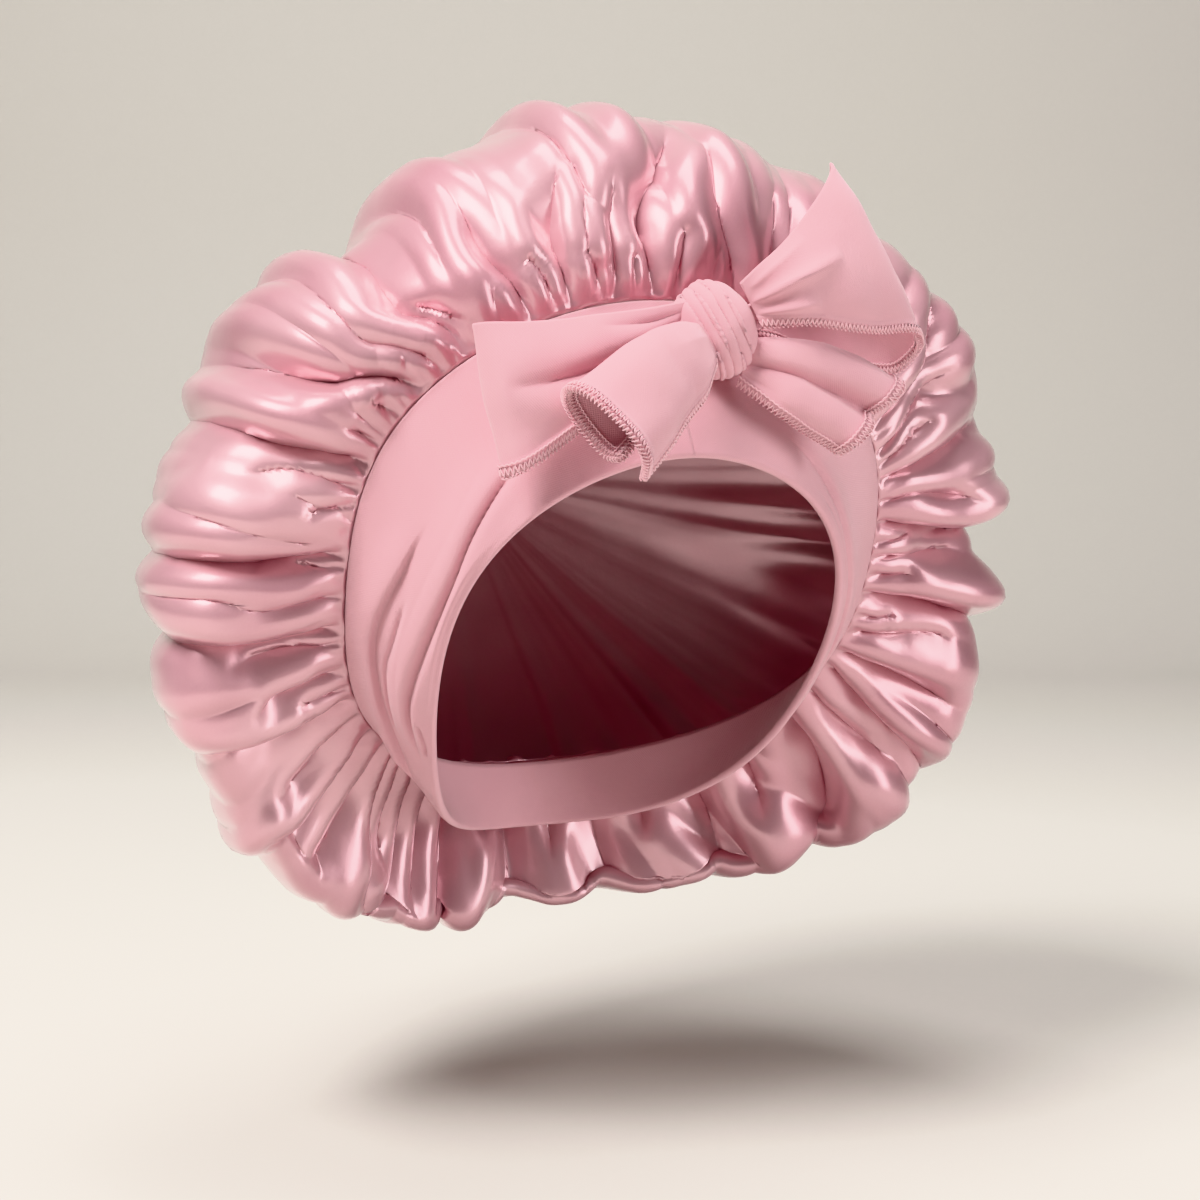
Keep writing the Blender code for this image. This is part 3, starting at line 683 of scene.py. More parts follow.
class NodeMaker:
    """Adds the nodes of one material."""

    def __init__(self, name: str) -> None:
        """Make the material.

        Args:
            name: Name of the material.
        """
        self.material = bpy.data.materials.new(name)
        self.material.use_nodes = True
        self.tree = self.material.node_tree
        self.shader = self.tree.nodes["Principled BSDF"]

    def add(self, kind: str, inputs: tuple | list | dict = (), output: int | str = 0,
            **options: object) -> Shade:
        """Add a node.

        Args:
            kind: Type name of the node.
            inputs: Values or Shades for its first inputs, or a dict by input name.
            output: Name or number of the output to give back.
            **options: Properties of the node.

        Returns:
            A Shade of the node's output.
        """
        node = self.tree.nodes.new(kind)
        for name, value in options.items():
            setattr(node, name, value)
        pairs = inputs.items() if isinstance(inputs, dict) else enumerate(inputs)
        for place, value in pairs:
            if isinstance(value, Shade):
                self.tree.links.new(value.socket, node.inputs[place])
            else:
                node.inputs[place].default_value = value
        return Shade(self, node.outputs[output])

    def mix(self, share: Shade | float, first: Shade | tuple, second: Shade | tuple) -> Shade:
        """Mix two colours.

        Args:
            share: Share of the second, a number or Shade.
            first: First colour, linear red, green and blue, or a Shade.
            second: Second colour.

        Returns:
            A Shade of the mixed colour.
        """
        node = self.tree.nodes.new("ShaderNodeMix")
        node.data_type = "RGBA"
        for place, value in ((0, share), (6, first), (7, second)):
            if isinstance(value, Shade):
                self.tree.links.new(value.socket, node.inputs[place])
            elif place == 0:
                node.inputs[place].default_value = value
            else:
                node.inputs[place].default_value = (*value, 1.0)
        return Shade(self, node.outputs[2])

    def noise(self, where: Shade, scale: float, detail: float = 2.0,
              roughness: float = 0.5) -> Shade:
        """Add a noise texture.

        Args:
            where: Shade of the coordinates.
            scale: Cells for each metre.
            detail: Octaves of detail.
            roughness: Strength of the finer octaves.

        Returns:
            A Shade of the noise, 0 to 1.
        """
        inputs = {"Vector": where, "Scale": scale, "Detail": detail, "Roughness": roughness}
        return self.add("ShaderNodeTexNoise", inputs, output="Fac")

    def bump(self, height: Shade, distance: float, strength: float = 1.0) -> None:
        """Drive the shader's normal by a height.

        Args:
            height: Shade of the height.
            distance: Height in metres where it is 1.
            strength: Strength of the bump.
        """
        inputs = {"Height": height, "Distance": distance, "Strength": strength}
        bumped = self.add("ShaderNodeBump", inputs, output="Normal")
        self.tree.links.new(bumped.socket, self.shader.inputs["Normal"])

    def drive(self, name: str, value: Shade | float | tuple) -> None:
        """Give one of the shader's inputs its value.

        Args:
            name: Name of the input.
            value: A number, a colour or a Shade.
        """
        if isinstance(value, Shade):
            self.tree.links.new(value.socket, self.shader.inputs[name])
        else:
            self.shader.inputs[name].default_value = value


@dataclass(frozen=True)
class Satin:
    """Glossy woven satin.

    Attributes:
        light: The lighter of two colours that a broad noise mixes at random, linear.
        deep: The darker of the two, linear.
        roughness: Least roughness of the weave.
        metallic: How far its shine takes its own colour.
        coat_roughness: Roughness of the clear shine over it.
        sparkle: Colour of its finest threads, linear.
    """

    light: tuple = (0.735, 0.430, 0.480)
    deep: tuple = (0.615, 0.305, 0.360)
    roughness: float = 0.285
    metallic: float = 0.40
    coat_roughness: float = 0.17
    sparkle: tuple = (0.80, 0.50, 0.55)

    def make(self) -> bpy.types.Material:
        """Build the material.

        Returns:
            The material.
        """
        maker = NodeMaker("satin")
        flat = maker.add("ShaderNodeUVMap", output="UV", uv_map="flat")
        space = maker.add("ShaderNodeTexCoord", output="Object")
        broad = maker.noise(space, 18.0, 2.0)
        fine = maker.noise(flat, 900.0, 3.0, 0.6)
        colour = maker.mix(broad.within(0.35, 0.7), self.deep, self.light)
        colour = maker.mix(fine.within(0.3, 0.8) * 0.12, colour, self.sparkle)
        maker.drive("Base Color", colour)
        maker.drive("Metallic", self.metallic)
        maker.drive("Roughness", fine.within(0.2, 0.8) * 0.05 + self.roughness)
        maker.drive("Coat Weight", 1.0)
        maker.drive("Coat Roughness", self.coat_roughness)
        slack = maker.noise(space, 120.0, 3.0, 0.55)
        maker.bump(slack * 0.5 + fine * 0.02, 0.0009, 0.25)
        return maker.material


@dataclass(frozen=True)
class Jersey:
    """Matt stretch jersey with a fine knit.

    Attributes:
        light: Colour of the raised stitches, linear.
        deep: Colour between them, a painted shade in the knit's hollows, linear.
        pitch: Pitch of the knit in metres.
    """

    light: tuple = (0.775, 0.440, 0.495)
    deep: tuple = (0.665, 0.340, 0.395)
    pitch: float = 0.00075

    def make(self) -> bpy.types.Material:
        """Build the material.

        The knit is the sine across times the sine of the place along plus twice the size
        of the half sine across, which gives small V shapes.

        Returns:
            The material.
        """
        maker = NodeMaker("jersey")
        flat = maker.add("ShaderNodeUVMap", output="UV", uv_map="flat")
        cycles = 2.0 * np.pi / self.pitch
        across = maker.add("ShaderNodeSeparateXYZ", [flat], output="X") * cycles
        along = maker.add("ShaderNodeSeparateXYZ", [flat], output="Y") * cycles
        ribs = across.sine()
        rows = (along + abs((across * 0.5).sine()) * 2.0).sine()
        knit = (ribs * rows) * 0.5 + 0.5
        space = maker.add("ShaderNodeTexCoord", output="Object")
        fuzz = maker.noise(space, 2600.0, 3.0, 0.6)
        broad = maker.noise(space, 30.0, 2.0)
        # The knit term darkens the hollows between the stitches, a painted shade; fuzz and broad
        # vary the tone at random.
        share = knit * 0.35 + fuzz * 0.35 + broad.within(0.3, 0.7) * 0.3
        maker.drive("Base Color", maker.mix(share, self.deep, self.light))
        maker.drive("Roughness", fuzz.within(0.2, 0.8) * 0.1 + 0.78)
        maker.drive("Sheen Weight", 0.35)
        maker.drive("Sheen Roughness", 0.5)
        maker.bump(knit * 0.6 + fuzz * 0.5, 0.00022, 0.6)
        return maker.material


@dataclass(frozen=True)
class Thread:
    """Twisted sewing thread.

    Attributes:
        light: Its colour, linear.
        deep: Colour in the hollows of its twist, a painted shade, linear.
    """

    light: tuple = (0.940, 0.620, 0.670)
    deep: tuple = (0.840, 0.480, 0.540)

    def make(self) -> bpy.types.Material:
        """Build the material.

        Returns:
            The material.
        """
        maker = NodeMaker("thread")
        space = maker.add("ShaderNodeTexCoord", output="Object")
        twist = maker.noise(space, 5200.0, 2.0)
        broad = maker.noise(space, 260.0, 1.0)
        # The twist term darkens where its bump is low, a painted shade in the twist's hollows;
        # the broad term varies the tone at random.
        share = twist.within(0.3, 0.7) * 0.6 + broad * 0.4
        maker.drive("Base Color", maker.mix(share, self.deep, self.light))
        maker.drive("Roughness", 0.62)
        maker.drive("Sheen Weight", 0.2)
        maker.bump(twist, 0.00012, 0.6)
        return maker.material


@dataclass(frozen=True)
class Paper:
    """Plain pale floor and backdrop.

    Attributes:
        colour: Its colour, linear.
    """

    colour: tuple = (0.62, 0.59, 0.55)

    def make(self) -> bpy.types.Material:
        """Build the material.

        Returns:
            The material.
        """
        maker = NodeMaker("paper")
        space = maker.add("ShaderNodeTexCoord", output="Object")
        grain = maker.noise(space, 220.0, 4.0, 0.6)
        darker = tuple(value * 0.97 for value in self.colour)
        maker.drive("Base Color", maker.mix(grain, darker, self.colour))
        maker.drive("Roughness", 0.85)
        maker.bump(grain, 0.0004, 0.15)
        return maker.material


@dataclass(frozen=True)
class Finishes:
    """The materials of the bonnet.

    Attributes:
        satin: Material of the crown.
        jersey: Material of the band and the bow.
        thread: Material of the hems' stitching.
    """

    satin: bpy.types.Material
    jersey: bpy.types.Material
    thread: bpy.types.Material


@dataclass(frozen=True)
class Rings:
    """Seam ring, where the crown is gathered onto the band, and hem ring.

    Attributes:
        seam: Its width, height, depth, top and front in metres.
        hem: The same of the hem.
    """

    seam: tuple = (0.191, 0.1675, 0.115, 0.0715, -0.054)
    hem: tuple = (0.141, 0.1425, 0.140, 0.0245, -0.082)

    def at(self, kind: Ring, turn: np.ndarray) -> np.ndarray:
        """Points of a ring.

        Args:
            kind: Which ring.
            turn: Turns in degrees.

        Returns:
            A row for each turn.
        """
        width, height, depth, top, front = self.seam if kind is Ring.SEAM else self.hem
        rows = table(RING_ROWS, RING_COLUMNS)
        right = np.column_stack([
            rows[kind.value + "_across"] * width / 2.0,
            front + rows[kind.value + "_back"] * depth,
            top + rows[kind.value + "_up"] * height,
        ])
        left = right[-2:0:-1] * (-1.0, 1.0, 1.0)
        knots = np.append(rows["turn"], 360.0 - rows["turn"][-2:0:-1])
        return ring_curve(knots, np.vstack([right, left]), turn)


@dataclass(frozen=True)
class Gathers:
    """A set of small gathers that run out from the seam.

    Attributes:
        pitch: Degrees from one to the next.
        ends: Least and most share at which they end.
        depths: Least and most depth in metres.
        spans: Least and most span in degrees.
        seed: Number added to the crown's seed.
    """

    pitch: float
    ends: tuple
    depths: tuple
    spans: tuple
    seed: int


@dataclass(frozen=True)
class ClothTrial:
    """A short cloth simulation toward a rest shape that is larger than the start.

    Attributes:
        frames: Number of frames.
        quality: Steps for each frame.
        mass: Mass of a point in kilograms.
        damping: Drag of the air.
        stretch: Stiffness against pulling and pushing.
        shear: Stiffness against slanting.
        bending: Stiffness against bending.
        gravity: Share of gravity that acts.
    """

    frames: int = 30
    quality: int = 6
    mass: float = 0.05
    damping: float = 2.0
    stretch: float = 12.0
    shear: float = 4.0
    bending: float = 1.5
    gravity: float = 0.05

    def run(self, start: np.ndarray, faces: list, rest: np.ndarray,
            hold: np.ndarray) -> np.ndarray:
        """Simulate a mesh and take it away again.

        Args:
            start: Its points at the first frame.
            faces: Its faces.
            rest: Its points where the cloth is at rest.
            hold: How firmly each point is held, 0 to 1.

        Returns:
            Its points at the last frame.
        """
        cloth = add_mesh("cloth_trial", start, faces, None)
        cloth.shape_key_add(name="start")
        loose = cloth.shape_key_add(name="loose")
        loose.data.foreach_set("co", rest.astype(np.float32).ravel())
        group = cloth.vertex_groups.new(name="hold")
        for weight in np.unique(hold):
            group.add(np.flatnonzero(hold == weight).tolist(), float(weight), "REPLACE")
        simulation = cloth.modifiers.new("cloth", "CLOTH")
        settings = simulation.settings
        settings.quality = self.quality
        settings.mass = self.mass
        settings.air_damping = self.damping
        settings.tension_stiffness = self.stretch
        settings.compression_stiffness = self.stretch
        settings.shear_stiffness = self.shear
        settings.bending_stiffness = self.bending
        settings.vertex_group_mass = "hold"
        settings.pin_stiffness = 1.0
        settings.rest_shape_key = loose
        settings.effector_weights.gravity = self.gravity
        simulation.collision_settings.use_collision = False
        scene = bpy.context.scene
        scene.frame_start = 1
        scene.frame_end = self.frames
        simulation.point_cache.frame_start = 1
        simulation.point_cache.frame_end = self.frames
        for number in range(1, self.frames + 1):
            scene.frame_set(number)
        made = cloth.evaluated_get(bpy.context.evaluated_depsgraph_get())
        moved = np.zeros(len(start) * 3, np.float32)
        made.data.vertices.foreach_get("co", moved)
        bpy.data.objects.remove(cloth, do_unlink=True)
        scene.frame_set(1)
        return moved.reshape(-1, 3)


@dataclass(frozen=True)
class Crown:
    """Gathered satin crown.

    Attributes:
        rings: The rings it is sewn along.
        width: Its width at the rim.
        height: Its height at the rim.
        top: Height of its top.
        back: How far back it reaches.
        pole_down: How far down the pole lies, as a share of the height.
        rim_place: How far back the foremost of the rim lies.
        front_lean: Most degrees that it leaves the seam toward the front.
        low_lean: Most degrees that it leaves the low seam toward the back.
        clearance: Gap to the band.
        fold: Depth of the deepest folds.
        wall: Thickness of the cloth.
        turns: Steps round the grid that is simulated, half of those in the mesh.
        slope_rows: Rows from the seam to the rim.
        back_rows: Rows from the rim to the pole.
        puff: How far the pillows round out over their valleys.
        sag: How far full pillows hang down.
        streak: Height of the long soft waves.
        broad: Height of the broad softness.
        seed: Seed of all its variation.
        loosen: True where the simulation runs.
        middle_gathers: Its larger gathers.
        fine_gathers: Its small gathers beside the seam.
        trial: The cloth simulation.
        grow: How much larger its rest shape is along each axis.
        hold: How firmly the cloth beyond the seam is held.
        kept: Share of the short waves of its shift that is kept.
        most: Shift above which no more is kept.
    """

    rings: Rings
    width: float = 0.317
    height: float = 0.286
    top: float = 0.1375
    back: float = 0.131
    pole_down: float = 0.46
    rim_place: float = 0.012
    front_lean: float = 24.0
    low_lean: float = 62.0
    clearance: float = 0.0004
    fold: float = 0.0150
    wall: float = 0.0006
    turns: int = 360
    slope_rows: int = 45
    back_rows: int = 21
    puff: float = 0.0030
    sag: float = 0.0065
    streak: float = 0.0052
    broad: float = 0.0022
    seed: int = 11
    loosen: bool = True
    middle_gathers: Gathers = Gathers(6.4, (0.18, 0.50), (0.0012, 0.0036), (2.2, 3.6), 1)
    fine_gathers: Gathers = Gathers(2.7, (0.03, 0.085), (0.0004, 0.0009), (1.1, 1.6), 4)
    trial: ClothTrial = ClothTrial()
    grow: tuple = (0.090, 0.04, 0.090)
    hold: float = 0.035
    kept: float = 0.45
    most: float = 0.008

    def pole(self) -> np.ndarray:
        """Point at the back where the crown closes."""
        return np.array([0.0, self.back, self.top - self.pole_down * self.height])

    def base(self, turn: np.ndarray, share: np.ndarray) -> np.ndarray:
        """Crown without its folds: share 0 at the seam, 0.5 at the rim, 1 at the back.

        Each turn is one cubic curve from the seam to the rim and another to the pole. The
        first leaves the seam at its lean from an upright plane, toward the front.

        Args:
            turn: Turns in degrees.
            share: Shares from the seam to the back.

        Returns:
            Grid of points.
        """
        rows = table(RIM_ROWS, RIM_COLUMNS)
        reach = self.back - self.rim_place
        rim_rows = np.column_stack([
            rows["across"] * self.width / 2.0,
            self.rim_place + rows["back"] * reach,
            self.top - rows["down"] * self.height,
            rows["lean"],
        ])
        values = ring_curve(rows["turn"], rim_rows, turn)
        rim, lean = values[:, :3], values[:, 3]
        degrees = np.where(lean > 0.0, lean * self.front_lean, lean * self.low_lean)
        angle = np.radians(degrees)[:, None]
        seam = self.rings.at(Ring.SEAM, turn)
        seam = seam + unit(seam - self.rings.at(Ring.HEM, turn)) * self.clearance
        away = unit((rim - seam) * (1.0, 0.0, 1.0))
        forward = np.array([0.0, -1.0, 0.0])
        leave = away * np.cos(angle) + forward * np.sin(angle)
        length = np.linalg.norm(rim - seam, axis=1, keepdims=True)
        pole = np.broadcast_to(self.pole(), rim.shape)
        off_seam = seam + leave * length * 0.42
        before_rim = rim + forward * length * 0.52
        near = handled(seam, off_seam, before_rim, rim, np.clip(2.0 * share, 0.0, 1.0))
        past_rim = rim + (pole - rim) * (0.0, 0.55, 0.0)
        before_pole = pole + (rim - pole) * (0.60, 0.0, 0.60)
        far = handled(rim, past_rim, before_pole, pole, np.clip(2.0 * share - 1.0, 0.0, 1.0))
        return np.where(share[None, :, None] <= 0.5, near, far)

    def valleys(self, turn: np.ndarray, lines: np.ndarray, deep: np.ndarray,
                before: np.ndarray, after: np.ndarray) -> np.ndarray:
        """Depth of a set of valleys, soft where two meet.

        Each is (1 - |x| / span)^1.6 deep at x degrees from its line, and they add up as
        the cube root of the sum of their cubes.

        Args:
            turn: Turns of the grid.
            lines: Turn of each valley at each share.
            deep: Depth of each valley at each share.
            before: Span of each valley on its lower side at each share, in degrees.
            after: Span on its upper side.

        Returns:
            Grid of depths.
        """
        total = np.zeros((len(turn), lines.shape[1]))
        for line, depth, low, high in zip(lines, deep, before, after):
            away = np.mod(turn[:, None] - line[None, :] + 180.0, 360.0) - 180.0
            span = np.where(away < 0.0, low[None, :], high[None, :])
            near = np.clip(1.0 - np.abs(away) / span, 0.0, 1.0) ** 1.6
            total += (near * depth[None, :]) ** 3
        return np.cbrt(total)

    def pleats(self, turn: np.ndarray, share: np.ndarray) -> np.ndarray:
        """Depth of the pleats between the pillows, narrow at the seam and wider outward.

        Each rises after its start and falls over the last half of its run, its depth goes
        from that at the seam to that at the rim, and its span from 0.46 to 1.2 of its own.

        Args:
            turn: Turns of the grid.
            share: Shares of the grid.

        Returns:
            Grid of depths.
        """
        columns = table(PLEAT_ROWS, PLEAT_COLUMNS)
        rows = {name: column[:, None] for name, column in columns.items()}
        beyond = rows["far"] + (rows["far"] - rows["middle"]) * 0.3
        lines = np.hstack([rows["seam"], rows["middle"], rows["far"], beyond]).T
        lines = open_curve(np.array([0.0, 0.15, 0.40, 1.0]), lines, share).T
        rise = smooth((share - rows["start"] + 0.03) / 0.15)
        fall = smooth((rows["end"] - share) / (0.5 * (rows["end"] - rows["start"])))
        toward = smooth((share - 0.18) / 0.30)
        deep = rows["deep"] + (rows["edge"] - rows["deep"]) * toward
        narrow = 0.46 + 0.74 * smooth(share / 0.22)
        return self.valleys(turn, lines, deep * rise * fall * self.fold,
                            rows["before"] * narrow, rows["after"] * narrow)

    def gathers(self, turn: np.ndarray, share: np.ndarray, kind: Gathers) -> np.ndarray:
        """Depth of the small gathers, which run out from the seam and merge.

        Each ends at a random share and goes 0.2 of the way to its nearest pleat. At a
        share of its run it is its depth times smooth(run / 0.35 + 0.1) times
        smooth((1 - run) / 0.8).

        Args:
            turn: Turns of the grid.
            share: Shares of the grid.
            kind: The set of gathers.

        Returns:
            Grid of depths.
        """
        chance = np.random.default_rng(self.seed + kind.seed)
        count = int(round(360.0 / kind.pitch))
        off = chance.uniform(-0.42, 0.42, count) * kind.pitch
        start = np.arange(count) * 360.0 / count + off
        least, most = kind.ends
        end = (least + (most - least) * chance.uniform(0.0, 1.0, count) ** 2)[:, None]
        depth = chance.uniform(*kind.depths, count)[:, None]
        span = chance.uniform(*kind.spans, count)[:, None] * (0.7 + 0.6 * smooth(share / end))
        main = np.mod(table(PLEAT_ROWS, PLEAT_COLUMNS)["seam"], 360.0)
        gap = np.mod(main[None, :] - start[:, None] + 180.0, 360.0) - 180.0
        nearest = gap[np.arange(count), np.abs(gap).argmin(axis=1)][:, None]
        run = share[None, :] / end
        lines = start[:, None] + nearest * 0.2 * smooth(run)
        profile = smooth(run / 0.35 + 0.1) * smooth((1.0 - run) / 0.8)
        return self.valleys(turn, lines, depth * profile, span, span)

    def shares(self) -> np.ndarray:
        """Shares of the grid's rows from the seam to the pole, closer beside the seam."""
        slope = 0.5 * np.linspace(0.0, 1.0, self.slope_rows + 1) ** 1.15
        rest = 0.5 + 0.5 * np.arange(1, self.back_rows + 1) / self.back_rows
        return np.append(slope, rest)

    def streaks(self, base: np.ndarray, turn: np.ndarray, share: np.ndarray) -> np.ndarray:
        """Lift of long soft waves that run from the seam over the rim.

        Each octave is plain times a soft noise, plus creased times the root of its square
        and 0.008, less 0.35. A coarser noise sways its lines.

        Args:
            base: The crown without its folds.
            turn: Turns of the grid.
            share: Shares of the grid.

        Returns:
            Grid of lifts, up to about 1.
        """
        angle = np.radians(turn)[:, None]
        sway = SoftNoise(self.seed + 5).at(base / 0.05 + 4.2)
        lift = np.zeros(base.shape[:2])
        for cells, long, plain, creased in STREAK_ROWS:
            where = np.stack([cells * np.cos(angle) + 0.28 * sway + 40.0,
                              cells * np.sin(angle) + 0.28 * sway + 40.0,
                              long * share[None, :] + 0.20 * sway + 9.0], axis=2)
            wave = SoftNoise(self.seed + int(cells)).at(where)
            if cells > 8.0:
                wave = wave * (1.0 - 0.8 * smooth((share - 0.55) / 0.3))[None, :]
            lift += plain * wave + creased * (np.sqrt(wave * wave + 0.008) - 0.35)
        return lift

    def shaped(self, turn: np.ndarray, share: np.ndarray) -> np.ndarray:
        """Grid with its pleats, middle gathers and soft waves.

        The points move along the plain crown's normal by the lift less the depth, round
        out along their own normal, and sink at the low side where they are full.

        Args:
            turn: Turns of the grid.
            share: Shares of the grid.

        Returns:
            Grid of points, its last column all at the pole.
        """
        base = self.base(turn, share)
        inner = facing(base[:, :-1], True)
        last = np.broadcast_to((0.0, 1.0, 0.0), inner[:, :1].shape)
        normal = np.concatenate([inner, last], axis=1)
        middle = self.gathers(turn, share, self.middle_gathers)
        deep = self.softened(np.cbrt(self.pleats(turn, share) ** 3 + middle ** 3), 0.3)
        deep = deep * smooth((0.92 - share) / 0.36)
        fade = smooth(share / 0.30) * smooth((1.0 - share) / 0.4)
        broad = SoftNoise(self.seed + 3).at(base / 0.055 + 3.1)
        lift = self.streaks(base, turn, share) * self.streak + broad * self.broad
        lift = lift * fade[None, :]
        rounding = (self.puff * smooth(share / 0.08) * smooth((1.0 - share) / 0.3))[None, :, None]
        points = base + normal * ((lift - deep)[..., None] - rounding)
        open_part = (share < 1.0)[None, :, None]
        points = points + facing(points, True) * rounding * open_part
        full = np.clip(1.0 - deep / self.fold, 0.0, 1.0)
        lower = np.sin(np.radians(turn) / 2.0)[:, None]
        hang = self.sag * full * lower * smooth(share / 0.25) * smooth((1.0 - share) / 0.3)
        points[..., 2] -= hang
        points[:, -1] = points[:, -1].mean(axis=0)
        points[:, 0] = base[:, 0]
        return points

    def relaxed(self, points: np.ndarray, share: np.ndarray) -> np.ndarray:
        """Let the cloth buckle: a short simulation with the seam held.

        Of the shift only what differs from its own wide blur is kept, faded at both ends
        and cut at the most, times the share that is kept.

        Args:
            points: Grid of points, the last column all at the pole.
            share: Shares of its columns.

        Returns:
            The relaxed grid.
        """
        turns = points.shape[0]
        body = points[:, :-1]
        every, faces = self.closed(body, points[0, -1])
        place = share[:-1]
        wide = np.repeat(np.tile(smooth(place / 0.1), turns), 3).reshape(-1, 3)
        grown = every.copy()
        grown[:-1] *= 1.0 + wide * self.grow
        hold = np.append(np.tile(np.where(place < 0.012, 1.0, self.hold), turns), self.hold)
        moved = self.trial.run(every, faces, grown, hold)
        shift = (moved - every)[:-1].reshape(body.shape)
        shift = shift - self.softened(shift, 13.0, 30)
        shift *= smooth(place / 0.24)[None, :, None]
        shift *= smooth((1.0 - place) / 0.2)[None, :, None]
        far = np.linalg.norm(shift, axis=2, keepdims=True)
        log.info("cloth moved %.1f mm at most", far.max() * 1000.0)
        shift *= self.kept * np.minimum(1.0, self.most / np.maximum(far, 1e-9))
        done = points.copy()
        done[:, :-1] += shift
        return done

    def closed(self, body: np.ndarray, pole: np.ndarray) -> tuple[np.ndarray, list]:
        """Points and faces of a grid whose last column is fanned to the pole.

        Args:
            body: Grid of points, joined round.
            pole: The pole.

        Returns:
            Every point, the pole last, and the faces.
        """
        turns, columns = body.shape[:2]
        last = np.arange(turns) * columns + columns - 1
        fan = np.column_stack([last, np.roll(last, -1), np.full(turns, turns * columns)])
        grid = Grid(body, np.zeros(body.shape[:2] + (2,)), True)
        faces = [list(face) for face in grid.faces()] + fan.tolist()
        return np.vstack([body.reshape(-1, 3), pole]), faces

    def softened(self, values: np.ndarray, degrees: float, passes: int = 0) -> np.ndarray:
        """Blur a grid round the crown and over its columns.

        Round it each wave of n cycles keeps exp(-(2 pi n s / 360)^2 / 2) of its height,
        and each pass over the columns takes a quarter of both neighbours.

        Args:
            values: Grid of numbers or vectors, its first axis joined round.
            degrees: Standard deviation s round the crown, in degrees.
            passes: Number of passes over the columns.

        Returns:
            The blurred grid.
        """
        turns = values.shape[0]
        waves = np.fft.fftfreq(turns) * turns
        keep = np.exp(-0.5 * (2.0 * np.pi * waves * degrees / 360.0) ** 2)
        keep = keep.reshape((turns,) + (1,) * (values.ndim - 1))
        blurred = np.fft.ifft(np.fft.fft(values, axis=0) * keep, axis=0).real
        for _ in range(passes):
            padded = np.concatenate([blurred[:, :1], blurred, blurred[:, -1:]], axis=1)
            blurred = (padded[:, :-2] + 2.0 * padded[:, 1:-1] + padded[:, 2:]) / 4.0
        return blurred

    def build(self, finishes: Finishes) -> bpy.types.Object:
        """Make the crown.

        Args:
            finishes: The materials.

        Returns:
            The object.
        """
        turn = np.arange(2 * self.turns) * 180.0 / self.turns
        share = self.shares()
        fine = self.shaped(turn, share)
        if self.loosen:
            coarse = fine[::2]
            fine = fine + finer(self.relaxed(coarse, share) - coarse)
        body = fine[:, :-1]
        deep = self.gathers(turn, share, self.fine_gathers)
        body = body - facing(body, True) * deep[:, :-1, None]
        steps = np.linalg.norm(np.diff(self.base(turn, share), axis=1), axis=2).mean(axis=0)
        inward = np.append(0.0, np.cumsum(steps))
        radius = (inward[-1] - inward)[None, :-1]
        angle = np.radians(turn)[:, None]
        flat = np.stack([radius * np.sin(angle), radius * np.cos(angle)], axis=2)
        every, faces = self.closed(body, fine[0, -1])
        flats = np.vstack([flat.reshape(-1, 2), (0.0, 0.0)])
        crown = add_mesh("satin_crown", every, faces, finishes.satin, flats)
        wall = crown.modifiers.new("wall", "SOLIDIFY")
        wall.thickness = self.wall
        wall.offset = -1.0
        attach(crown, "root")
        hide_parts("crown")
        return crown


